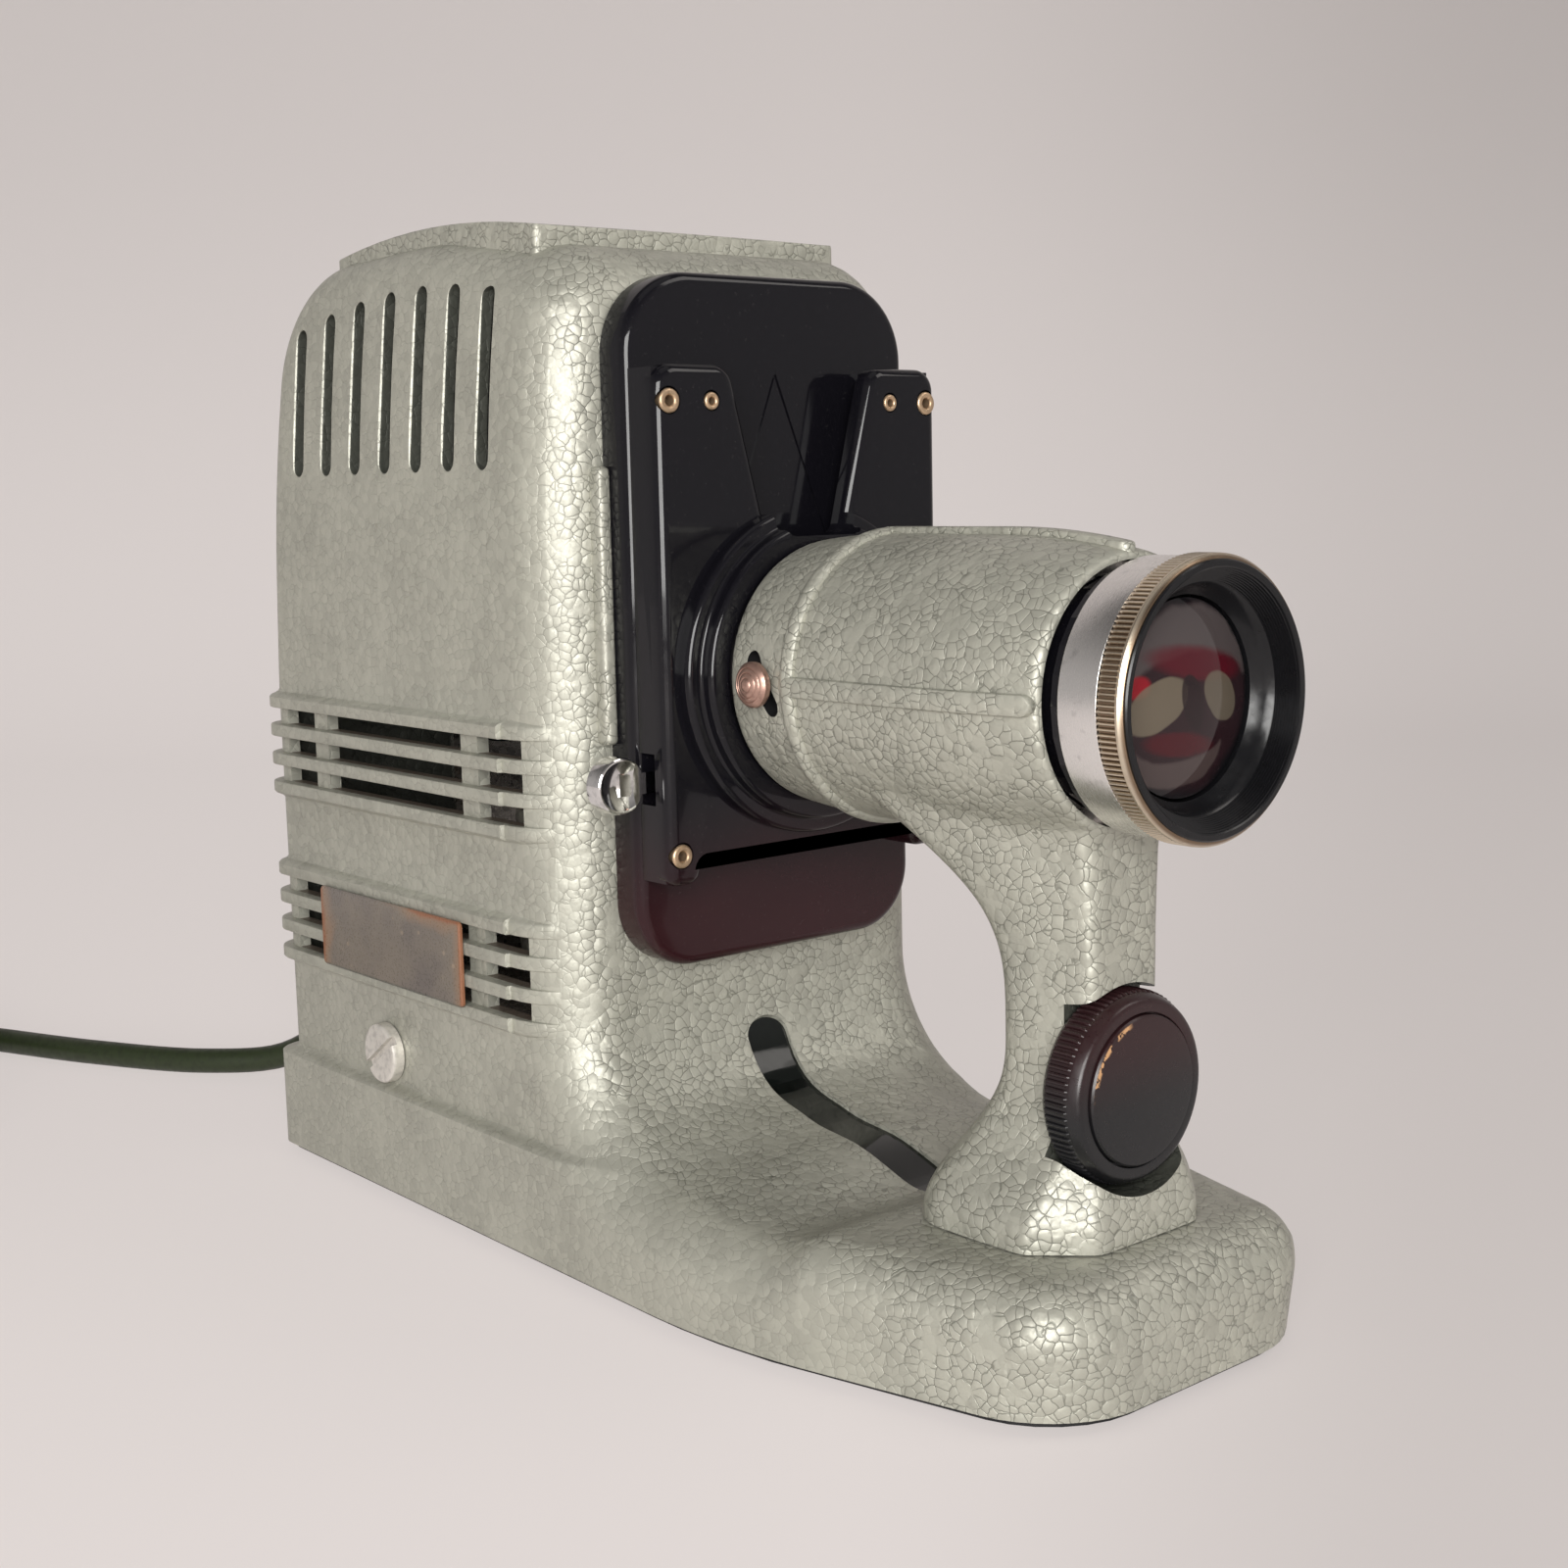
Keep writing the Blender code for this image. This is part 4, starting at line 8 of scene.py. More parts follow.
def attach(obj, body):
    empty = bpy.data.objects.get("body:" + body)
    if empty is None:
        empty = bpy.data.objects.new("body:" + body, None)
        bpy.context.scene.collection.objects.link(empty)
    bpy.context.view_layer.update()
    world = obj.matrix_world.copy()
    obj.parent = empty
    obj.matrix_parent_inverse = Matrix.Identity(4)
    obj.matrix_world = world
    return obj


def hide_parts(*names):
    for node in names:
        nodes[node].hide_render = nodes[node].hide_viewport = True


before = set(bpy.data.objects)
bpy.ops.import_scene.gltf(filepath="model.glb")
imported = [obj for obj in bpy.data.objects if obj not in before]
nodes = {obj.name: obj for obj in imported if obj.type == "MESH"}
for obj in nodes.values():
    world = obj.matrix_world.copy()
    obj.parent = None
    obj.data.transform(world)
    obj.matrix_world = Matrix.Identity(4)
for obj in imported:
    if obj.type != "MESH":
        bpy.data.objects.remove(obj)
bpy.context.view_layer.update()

mm = 0.001
scene = bpy.context.scene
# shapes are drawn in mm from the stage's face and the casting's lower edge, then carried here
seatY = -9.8
liftZ = 2.8
toFrame = Matrix.Translation((0.0, seatY * mm, liftZ * mm)) @ Matrix.Scale(mm, 4)


def say(stage):
    print("stage:", stage, flush=True)


# camera

camera = {
    "place": (-0.30328, -0.37290, 0.17371),
    "right": (0.76425935, -0.64453647, -0.02191751),
    "up": (0.10736549, 0.09365048, 0.98979909),
    "forward": (0.63590903, 0.7588164, -0.14077423),
    "lens": 48.03,
}

eye = bpy.data.objects.new("camera", bpy.data.cameras.new("camera"))
scene.collection.objects.link(eye)
eye.data.lens = camera["lens"]
eye.data.sensor_width = 36.0
eye.data.clip_start = 0.01
turn = Matrix((camera["right"], camera["up"], -Vector(camera["forward"]))).transposed()
eye.matrix_world = Matrix.Translation(camera["place"]) @ turn.to_4x4()
scene.camera = eye
scene.view_settings.view_transform = "Standard"


# shader toolkit

def feed(tree, socket, item):
    if isinstance(item, Wire):
        tree.links.new(item.socket, socket)
    else:
        socket.default_value = item


class Wire:
    def __init__(self, tree, socket):
        self.tree = tree
        self.socket = socket

    def math(self, operation, *others, clamp=False):
        node = self.tree.nodes.new("ShaderNodeMath")
        node.operation = operation
        node.use_clamp = clamp
        for index, item in enumerate((self, *others)):
            feed(self.tree, node.inputs[index], item)
        return Wire(self.tree, node.outputs[0])

    def __add__(self, other):
        return self.math("ADD", other)

    def __sub__(self, other):
        return self.math("SUBTRACT", other)

    def __mul__(self, other):
        return self.math("MULTIPLY", other)

    def __truediv__(self, other):
        return self.math("DIVIDE", other)

    def __pow__(self, other):
        return self.math("POWER", other)

    def __rsub__(self, other):
        return self.math("MULTIPLY", -1.0) + other

    def __rtruediv__(self, other):
        return self.math("POWER", -1.0) * other

    __radd__ = __add__
    __rmul__ = __mul__


class Finish:
    def __init__(self, name, **constants):
        self.material = bpy.data.materials.new(name)
        self.material.use_nodes = True
        self.tree = self.material.node_tree
        self.shader = self.tree.nodes["Principled BSDF"]
        for key, value in constants.items():
            socket = self.shader.inputs[key.replace("_", " ")]
            socket.default_value = (*value, 1.0) if isinstance(value, tuple) else value

    def node(self, kind, output=0, settings=None, **inputs):
        made = self.tree.nodes.new(kind)
        for key, value in (settings or {}).items():
            setattr(made, key, value)
        for key, value in inputs.items():
            feed(self.tree, made.inputs[key.replace("_", " ")], value)
        return Wire(self.tree, made.outputs[output])

    def place(self, scale=1000.0):
        # object coordinates in mm
        here = self.node("ShaderNodeTexCoord", "Object")
        return self.node("ShaderNodeVectorMath", 0, {"operation": "SCALE"}, Vector=here, Scale=scale)

    def split(self, vector):
        cut = self.tree.nodes.new("ShaderNodeSeparateXYZ")
        feed(self.tree, cut.inputs[0], vector)
        return [Wire(self.tree, socket) for socket in cut.outputs]

    def noise(self, vector, scale, detail=3.0, rough=0.55):
        return self.node("ShaderNodeTexNoise", 0, None, Vector=vector, Scale=scale, Detail=detail, Roughness=rough)

    def cells(self, vector, scale, feature="F1", random=1.0, output="Distance"):
        return self.node("ShaderNodeTexVoronoi", output, {"feature": feature},
                         Vector=vector, Scale=scale, Randomness=random)

    def ease(self, value, low, high, first=0.0, last=1.0):
        made = self.tree.nodes.new("ShaderNodeMapRange")
        made.interpolation_type = "SMOOTHSTEP"
        for index, item in enumerate((value, low, high, first, last)):
            feed(self.tree, made.inputs[index], item)
        return Wire(self.tree, made.outputs[0])

    def blend(self, share, first, last, mode="MIX"):
        made = self.tree.nodes.new("ShaderNodeMix")
        made.data_type = "RGBA"
        made.blend_type = mode
        feed(self.tree, made.inputs[0], share)
        for index, item in ((6, first), (7, last)):
            feed(self.tree, made.inputs[index], item if isinstance(item, Wire) else (*item, 1.0))
        return Wire(self.tree, made.outputs[2])

    def shift(self, vector, by, amount):
        # vector moved by a noise's colour
        away = self.node("ShaderNodeVectorMath", 0, {"operation": "SUBTRACT"}, Vector=by)
        away.socket.node.inputs[1].default_value = (0.5, 0.5, 0.5)
        away = self.node("ShaderNodeVectorMath", 0, {"operation": "SCALE"}, Vector=away, Scale=amount)
        moved = self.tree.nodes.new("ShaderNodeVectorMath")
        feed(self.tree, moved.inputs[0], vector)
        feed(self.tree, moved.inputs[1], away)
        return Wire(self.tree, moved.outputs[0])

    def bump(self, height, distance, strength=1.0):
        made = self.tree.nodes.new("ShaderNodeBump")
        feed(self.tree, made.inputs["Height"], height)
        made.inputs["Distance"].default_value = distance
        made.inputs["Strength"].default_value = strength
        return Wire(self.tree, made.outputs[0])

    def set(self, **inputs):
        for key, value in inputs.items():
            feed(self.tree, self.shader.inputs[key.replace("_", " ")], value)
        return self.material


# finishes

def hammerPaint(name, base, line, shade):
    # enamel that dried in small domed cells with thin dark cracks between them
    look = {"cell": 0.46, "crack": 0.055, "dome": 1.5, "depth": 0.00026, "light": tuple(part * 1.22 for part in base)}
    made = Finish(name, Metallic=0.40, Coat_Weight=0.10, Coat_Roughness=0.22)
    here = made.place()
    warp = made.node("ShaderNodeTexNoise", "Color", None, Vector=here, Scale=0.3, Detail=2.0)
    bent = made.shift(here, warp, 1.5)
    edge = made.cells(bent, look["cell"], "DISTANCE_TO_EDGE")
    tint = made.node("ShaderNodeTexVoronoi", "Color", None, Vector=bent, Scale=look["cell"])
    fine = made.noise(here, 1.8, 4.0)
    slow = made.noise(here, 0.045, 3.0)
    gate = made.ease(made.noise(here, 0.16, 3.0), 0.34, 0.52)
    # the flat side walls dried smoother than the curves
    wall = made.ease(made.split(here)[0].math("ABSOLUTE"), 44.0, 50.0)
    gate = gate * (1.0 - wall * 0.6)
    crack = (1.0 - made.ease(edge, 0.005, look["crack"])) * gate
    middle = made.cells(bent, look["cell"])
    dome = 1.0 - middle * middle * look["dome"]
    height = dome * (gate * 0.6 + 0.25) + fine * 0.12 - crack * 0.3
    tone = made.blend(made.ease(slow, 0.35, 0.65), base, tuple(part * 0.88 for part in base))
    tone = made.blend(made.ease(made.split(tint)[0], 0.2, 0.9) * 0.35, tone, look["light"])
    tone = made.blend(crack * 0.5, tone, line)
    # a given shade colour is painted shade, laid over the whole finish for faces that sit in shadow
    if shade:
        tone = made.blend(0.85, tone, shade)
    rough = made.ease(fine, 0.3, 0.7, 0.43, 0.54)
    return made.set(Base_Color=tone, Roughness=rough, Normal=made.bump(height, look["depth"]))


def bakelite():
    made = Finish("bakelite", Specular_IOR_Level=0.20, Coat_Weight=0.25, Coat_Roughness=0.04)
    here = made.place()
    high = made.split(here)[2]
    maroon = 1.0 - made.ease(high + made.noise(here, 0.03, 2.0) * 20.0, 84.0, 122.0)
    tone = made.blend(maroon * 0.9, (0.0048, 0.0045, 0.0064), (0.026, 0.0065, 0.0085))
    speck = made.ease(made.cells(here, 0.35), 0.05, 0.02)
    dust = made.ease(made.noise(here, 1.2, 5.0), 0.60, 0.76) * 0.10 + speck * 0.25
    rough = made.ease(made.noise(here, 0.10, 4.0), 0.35, 0.7, 0.07, 0.17) + dust * 0.5 + maroon * 0.12
    return made.set(Base_Color=made.blend(dust, tone, (0.10, 0.095, 0.09)), Roughness=rough)


def knobPlastic():
    made = Finish("knob_plastic", Specular_IOR_Level=0.4, Coat_Weight=0.1, Coat_Roughness=0.2)
    here = made.place()
    x, y, z = made.split(here)
    warm = made.ease(z, 52.0, 68.0)
    tone = made.blend(warm, (0.0085, 0.0085, 0.0095), (0.022, 0.0085, 0.0095))
    # brass shows through where the cap's edge is scratched, upper left
    reach = ((x * x) + (z - 56.8) * (z - 56.8)) ** 0.5
    ring = made.ease(reach, 13.3, 13.9) * (1.0 - made.ease(reach, 14.3, 14.6)) * (1.0 - made.ease(y, -116.5, -116.0))
    place = made.ease(z - x * 0.55, 64.5, 68.5) * (1.0 - made.ease(x, -5.0, -3.0))
    worn = ring * place * made.ease(made.noise(here, 0.9, 3.0), 0.47, 0.53)
    rough = made.ease(made.noise(here, 0.6, 5.0), 0.3, 0.7, 0.26, 0.38)
    return made.set(Base_Color=made.blend(worn, tone, (0.48, 0.27, 0.13)), Roughness=rough)


def plain(name, tone, rough, metal=0.0, spread=0.08, scale=0.5, **more):
    made = Finish(name, Metallic=metal, **more)
    here = made.place()
    cloud = made.noise(here, scale, 4.0)
    dull = tuple(part * 0.72 for part in tone)
    shade = made.blend(made.ease(cloud, 0.42, 0.72), tone, dull)
    return made.set(Base_Color=shade, Roughness=made.ease(cloud, 0.3, 0.7, rough - spread / 2, rough + spread))


def brushed(name, tone, rough, along):
    # fine lines turned about the lens's axis
    made = Finish(name, Metallic=1.0)
    here = made.place()
    stretched = made.tree.nodes.new("ShaderNodeVectorMath")
    stretched.operation = "MULTIPLY"
    feed(made.tree, stretched.inputs[0], here)
    stretched.inputs[1].default_value = along
    lines = made.noise(Wire(made.tree, stretched.outputs[0]), 3.0, 3.0)
    patch = made.noise(here, 0.25, 4.0)
    stain = made.ease(patch, 0.60, 0.72)
    shade = made.blend(stain * 0.35, tone, tuple(part * 0.45 for part in tone))
    return made.set(Base_Color=shade, Roughness=made.ease(lines, 0.3, 0.7, rough - 0.05, rough + 0.08),
                    Normal=made.bump(lines, 0.00001))


def knurl():
    made = Finish("champagne_metal", Metallic=0.95)
    here = made.place()
    x, y, z = made.split(here)
    reach = (x * x + (z - 133.4) * (z - 133.4)) ** 0.5
    tone = made.blend(made.ease(reach, 26.2, 26.7), (0.26, 0.185, 0.125), (0.66, 0.57, 0.45))
    patch = made.ease(made.noise(here, 0.25, 4.0), 0.5, 0.7)
    return made.set(Base_Color=made.blend(patch * 0.3, tone, (0.40, 0.29, 0.20)), Roughness=0.27)


looks = {
    "paint": hammerPaint("hammer_paint", (0.395, 0.392, 0.335), (0.085, 0.090, 0.070), None),
    # a copy of the paint darkened as painted shade, for slot walls, inner walls and pockets that sit in shadow
    "inside": hammerPaint("shaded_paint", (0.395, 0.392, 0.335), (0.040, 0.045, 0.035), (0.016, 0.020, 0.015)),
    # brown paint for the louvre gaps' upward floors: partly real dust, partly painted shade between the ribs
    "dusty": hammerPaint("dust_and_shade_paint", (0.395, 0.392, 0.335), (0.060, 0.050, 0.040), (0.110, 0.075, 0.055)),
    "bakelite": bakelite(),
    "knob": knobPlastic(),
    "matt": plain("matt_black", (0.010, 0.010, 0.011), 0.55, Specular_IOR_Level=0.3),
    "black": plain("black_lacquer", (0.0065, 0.0065, 0.0075), 0.20, Specular_IOR_Level=0.35),
    "gloss": plain("gloss_black", (0.0045, 0.0060, 0.0052), 0.07, 0.0, 0.03, Specular_IOR_Level=0.4),
    "coin": plain("coin_metal", (0.66, 0.63, 0.58), 0.34, 0.45, 0.02),
    "steel": plain("nickel", (0.62, 0.59, 0.55), 0.26, 1.0),
    "chrome": plain("chrome", (0.78, 0.77, 0.76), 0.09, 1.0, 0.04),
    "mirror": plain("mirror", (0.85, 0.85, 0.85), 0.05, 1.0, 0.02),
    "silver": brushed("brushed_silver", (0.84, 0.82, 0.80), 0.22, (0.2, 6.0, 0.2)),
    "champagne": knurl(),
    "brass": plain("brass", (0.60, 0.43, 0.28), 0.38, 0.85),
    "copper": plain("copper", (0.46, 0.29, 0.235), 0.36, 0.85, 0.1, 0.8),
    "rubber": plain("rubber", (0.018, 0.018, 0.018), 0.7),
    "cord": plain("cord_green", (0.022, 0.031, 0.012), 0.42, Specular_IOR_Level=0.4),
    "ceramic": plain("ceramic", (0.62, 0.58, 0.50), 0.35),
}


# mesh toolkit

def circlePoints(centre, radius, steps, first=0.0):
    turns = (first + 2 * math.pi * step / steps for step in range(steps))
    return [(centre[0] + radius * math.cos(turn), centre[1] + radius * math.sin(turn)) for turn in turns]


def roundedPath(corners, arc=5.0):
    # corners are (a, b, radius); the path is open
    points = []
    for index, (a, b, radius) in enumerate(corners):
        here = Vector((a, b))
        if radius <= 0 or index in (0, len(corners) - 1):
            points.append(here)
            continue
        back = (Vector(corners[index - 1][:2]) - here).normalized()
        ahead = (Vector(corners[index + 1][:2]) - here).normalized()
        half = back.angle(ahead) / 2
        if half > 1.569:
            points.append(here)
            continue
        reach = radius / math.tan(half)
        centre = here + (back + ahead).normalized() * (radius / math.sin(half))
        start = here + back * reach - centre
        sweep = start.angle_signed(here + ahead * reach - centre)
        steps = max(3, math.ceil(abs(math.degrees(sweep)) / arc))
        for step in range(steps + 1):
            turn = -sweep * step / steps
            cosine, sine = math.cos(turn), math.sin(turn)
            points.append(centre + Vector((start.x * cosine - start.y * sine, start.x * sine + start.y * cosine)))
    return points


def roundedLoop(corners, arc=9.0):
    points = []
    for index in range(len(corners)):
        trio = [corners[index - 1], corners[index], corners[(index + 1) % len(corners)]]
        points.extend(roundedPath(trio, arc)[1:-1])
    return points


def offsetLoop(points, by):
    # a closed loop's points moved inward, for a loop that runs counterclockwise
    moved = []
    count = len(points)
    for index in range(count):
        before, here, after = points[index - 1], points[index], points[(index + 1) % count]
        one = (here - before).normalized()
        two = (after - here).normalized()
        side = Vector((-one.y - two.y, one.x + two.x))
        side.normalize()
        half = max(0.35, math.sqrt(max(0.0, (1 + one.dot(two)) / 2)))
        moved.append(here + side * (by / half))
    return moved


def corner(axis, a, b, along):
    return {"x": (along, a, b), "y": (a, along, b), "z": (a, b, along)}[axis]


def prism(outline, axis, low, high):
    shape = bmesh.new()
    first = [shape.verts.new(corner(axis, a, b, low)) for a, b in outline]
    last = [shape.verts.new(corner(axis, a, b, high)) for a, b in outline]
    shape.faces.new(first)
    shape.faces.new(last[::-1])
    for index in range(len(outline)):
        after = (index + 1) % len(outline)
        shape.faces.new((first[index], last[index], last[after], first[after]))
    bmesh.ops.recalc_face_normals(shape, faces=shape.faces)
    return shape


def block(x, y, z):
    return prism([(x[0], y[0]), (x[1], y[0]), (x[1], y[1]), (x[0], y[1])], "z", *z)


def skin(rings, closed=False, caps=True):
    # faces between rings of the same count
    shape = bmesh.new()
    rows = [[shape.verts.new(spot) for spot in ring] for ring in rings]
    pairs = list(zip(rows, rows[1:])) + ([(rows[-1], rows[0])] if closed else [])
    for one, two in pairs:
        for index in range(len(one)):
            after = (index + 1) % len(one)
            shape.faces.new((one[index], one[after], two[after], two[index]))
    if caps and not closed:
        shape.faces.new(rows[0][::-1])
        shape.faces.new(rows[-1])
    bmesh.ops.recalc_face_normals(shape, faces=shape.faces)
    return shape


def lathe(profile, axis="y", centre=(0.0, 0.0), steps=96):
    # a profile of (radius, along); it closes on itself, or on the axis where its ends have no radius
    shape = bmesh.new()
    rings = []
    for radius, along in profile:
        ring = circlePoints(centre, radius, steps) if radius > 0 else [centre]
        rings.append([shape.verts.new(corner(axis, a, b, along)) for a, b in ring])
    closed = all(radius > 0 for radius, along in profile)
    pairs = list(zip(rings, rings[1:])) + ([(rings[-1], rings[0])] if closed else [])
    for one, two in pairs:
        for step in range(steps):
            after = (step + 1) % steps
            if len(one) == 1 and len(two) == 1:
                break
            if len(one) == 1:
                shape.faces.new((one[0], two[step], two[after]))
            elif len(two) == 1:
                shape.faces.new((one[step], two[0], one[after]))
            else:
                shape.faces.new((one[step], two[step], two[after], one[after]))
    bmesh.ops.recalc_face_normals(shape, faces=shape.faces)
    return shape


def softProfile(corners, arc=22.5):
    # a lathe profile whose corners are (radius, along, rounding), closed on itself
    return [(point.x, point.y) for point in roundedLoop(corners, arc)]


def pillow(points, face, back, edge, steps=5):
    # a plate whose edge toward the screen is rounded
    rings = [[(p.x, back, p.y) for p in points]]
    for step in range(steps + 1):
        turn = math.pi / 2 * step / steps
        ring = offsetLoop(points, edge * (1 - math.cos(turn)))
        rings.append([(p.x, face + edge * (1 - math.sin(turn)), p.y) for p in ring])
    return skin(rings)


def merge(*shapes):
    whole = bmesh.new()
    for shape in shapes:
        scratch = bpy.data.meshes.new("scratch")
        shape.to_mesh(scratch)
        shape.free()
        whole.from_mesh(scratch)
        bpy.data.meshes.remove(scratch)
    return whole


def smoothShade(mesh, sharp):
    mesh.shade_smooth()
    mesh.set_sharp_from_angle(angle=math.radians(sharp))


def put(name, shape, look, sharp=32.0):
    mesh = bpy.data.meshes.new(name)
    bmesh.ops.recalc_face_normals(shape, faces=shape.faces)
    shape.to_mesh(mesh)
    shape.free()
    mesh.transform(toFrame)
    mesh.materials.append(looks[look])
    piece = bpy.data.objects.new(name, mesh)
    scene.collection.objects.link(piece)
    smoothShade(mesh, sharp)
    return piece


def bake(piece, sharp=32.0):
    graph = bpy.context.evaluated_depsgraph_get()
    graph.update()
    old = piece.data
    fresh = bpy.data.meshes.new_from_object(piece.evaluated_get(graph))
    piece.modifiers.clear()
    piece.data = fresh
    bpy.data.meshes.remove(old)
    smoothShade(fresh, sharp)


def carve(piece, tool, operation="DIFFERENCE", sharp=32.0):
    # the tool is a shape in mm or a finished object; either is used up
    knife = tool
    if isinstance(tool, bmesh.types.BMesh):
        bmesh.ops.triangulate(tool, faces=[face for face in tool.faces if len(face.verts) > 4])
        knife = put("knife", tool, "paint")
        for index, holder in enumerate(piece.data.materials):
            if index:
                knife.data.materials.append(holder)
            else:
                knife.data.materials[0] = holder
    step = piece.modifiers.new("carve", "BOOLEAN")
    step.operation = operation
    step.solver = "EXACT"
    step.object = knife
    bake(piece, sharp)
    bpy.data.objects.remove(knife)


def fit(piece, body, slot, *replaced):
    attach(piece, body)
    if replaced:
        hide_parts(*replaced)
    return piece


# repeats, made by geometry nodes and then kept as plain meshes

def ringGroup():
    group = bpy.data.node_groups.new("ring_of", "GeometryNodeTree")
    group.interface.new_socket("Geometry", in_out="INPUT", socket_type="NodeSocketGeometry")
    group.interface.new_socket("Count", in_out="INPUT", socket_type="NodeSocketInt")
    group.interface.new_socket("Turn", in_out="INPUT", socket_type="NodeSocketVector")
    group.interface.new_socket("Step", in_out="INPUT", socket_type="NodeSocketVector")
    group.interface.new_socket("Finish", in_out="INPUT", socket_type="NodeSocketMaterial")
    group.interface.new_socket("Geometry", in_out="OUTPUT", socket_type="NodeSocketGeometry")
    add, link = group.nodes.new, group.links.new
    start, end = add("NodeGroupInput"), add("NodeGroupOutput")
    spots, number = add("GeometryNodePoints"), add("GeometryNodeInputIndex")
    turn, move = add("ShaderNodeVectorMath"), add("ShaderNodeVectorMath")
    turn.operation = move.operation = "SCALE"
    place, solid, paint = add("GeometryNodeInstanceOnPoints"), add("GeometryNodeRealizeInstances"), add("GeometryNodeSetMaterial")
    link(start.outputs["Count"], spots.inputs["Count"])
    link(start.outputs["Step"], move.inputs[0])
    link(start.outputs["Turn"], turn.inputs[0])
    link(number.outputs[0], move.inputs["Scale"])
    link(number.outputs[0], turn.inputs["Scale"])
    link(move.outputs[0], spots.inputs["Position"])
    link(spots.outputs[0], place.inputs["Points"])
    link(start.outputs["Geometry"], place.inputs["Instance"])
    link(turn.outputs[0], place.inputs["Rotation"])
    link(place.outputs[0], solid.inputs[0])
    link(solid.outputs[0], paint.inputs["Geometry"])
    link(start.outputs["Finish"], paint.inputs["Material"])
    link(paint.outputs[0], end.inputs[0])
    return group


repeatGroup = ringGroup()


def repeat(shape, look, count, turn=(0.0, 0.0, 0.0), step=(0.0, 0.0, 0.0)):
    # copies of a shape in mm about the origin, each turned and moved on from the last; gives a shape
    mesh = bpy.data.meshes.new("repeat")
    shape.to_mesh(mesh)
    shape.free()
    host = bpy.data.objects.new("repeat", mesh)
    scene.collection.objects.link(host)
    grow = host.modifiers.new("repeat", "NODES")
    grow.node_group = repeatGroup
    values = {"Count": count, "Turn": turn, "Step": step, "Finish": looks[look]}
    for item in repeatGroup.interface.items_tree:
        if item.item_type == "SOCKET" and item.in_out == "INPUT" and item.name in values:
            grow[item.identifier] = values[item.name]
    bake(host)
    grown = bmesh.new()
    grown.from_mesh(host.data)
    for face in grown.faces:
        face.material_index = 0
    bpy.data.objects.remove(host)
    return grown


def moved(shape, x=0.0, y=0.0, z=0.0):
    bmesh.ops.translate(shape, verts=shape.verts, vec=(x, y, z))
    return shape


say("tools")


# mains lead

lead = {
    "diameter": 7.5, "floor": -2.8, "gland": (-15.0, 176.0, 17.0), "tie": 1.0, "fit": 0.3,
    "left": (3.0, 11.0, 26.0, 46.0, 63.0), "back": (17.0, 32.0, 52.0, 86.0, 124.0),
    "above": (11.05, 2.75, 0.2, 0.0, 0.0),
    "mean": 43.2, "pitch": 8.8, "rise": 8.6, "turns": 3, "start": math.radians(30.0), "tail": 38.0,
}
coilCentre = (lead["gland"][0] - 131.0, lead["gland"][1] + 129.0)
coilLow = lead["floor"] + lead["tie"] + lead["fit"] * 2 + lead["diameter"] / 2
coilOuter = lead["mean"] + lead["pitch"] * lead["turns"] / 2


def ease(value, low, high):
    share = min(max((value - low) / (high - low), 0.0), 1.0)
    return share * share * (3 - 2 * share)


def coilPoint(turn):
    inward = 2 * math.pi * lead["turns"]
    inner = coilOuter - lead["pitch"] * lead["turns"]
    if turn <= inward:
        radius, z = coilOuter - lead["pitch"] * turn / (2 * math.pi), coilLow
    elif turn <= inward + math.pi:
        radius, z = inner, coilLow + lead["rise"] * ease(turn, inward, inward + math.pi)
    else:
        radius = inner + lead["pitch"] * (turn - inward - math.pi) / (2 * math.pi)
        z = coilLow + lead["rise"]
    angle = lead["start"] + turn
    return Vector((coilCentre[0] + radius * math.cos(angle), coilCentre[1] + radius * math.sin(angle), z))


def smoothWay(places, spacing):
    # a centripetal curve through the places, read at even steps
    padded = [places[0] * 2 - places[1]] + places + [places[-1] * 2 - places[-2]]
    knots = [0.0]
    for before, after in zip(padded, padded[1:]):
        knots.append(knots[-1] + math.sqrt((after - before).length))
    dense = []
    for index in range(1, len(padded) - 2):
        p, t = padded[index - 1:index + 3], knots[index - 1:index + 3]
        for step in range(16):
            now = t[1] + (t[2] - t[1]) * step / 16
            a = [p[k] * ((t[k + 1] - now) / (t[k + 1] - t[k])) + p[k + 1] * ((now - t[k]) / (t[k + 1] - t[k]))
                 for k in range(3)]
            b = [a[k] * ((t[k + 2] - now) / (t[k + 2] - t[k])) + a[k + 1] * ((now - t[k]) / (t[k + 2] - t[k]))
                 for k in range(2)]
            dense.append(b[0] * ((t[2] - now) / (t[2] - t[1])) + b[1] * ((now - t[1]) / (t[2] - t[1])))
    dense.append(places[-1])
    return evenly(dense, spacing)


def evenly(points, spacing):
    total = [0.0]
    for before, after in zip(points, points[1:]):
        total.append(total[-1] + (after - before).length)
    count = max(2, round(total[-1] / spacing))
    picked = []
    index = 0
    for step in range(count + 1):
        aim = total[-1] * step / count
        while index < len(total) - 2 and total[index + 1] < aim:
            index += 1
        share = (aim - total[index]) / (total[index + 1] - total[index])
        picked.append(points[index].lerp(points[index + 1], share))
    return picked


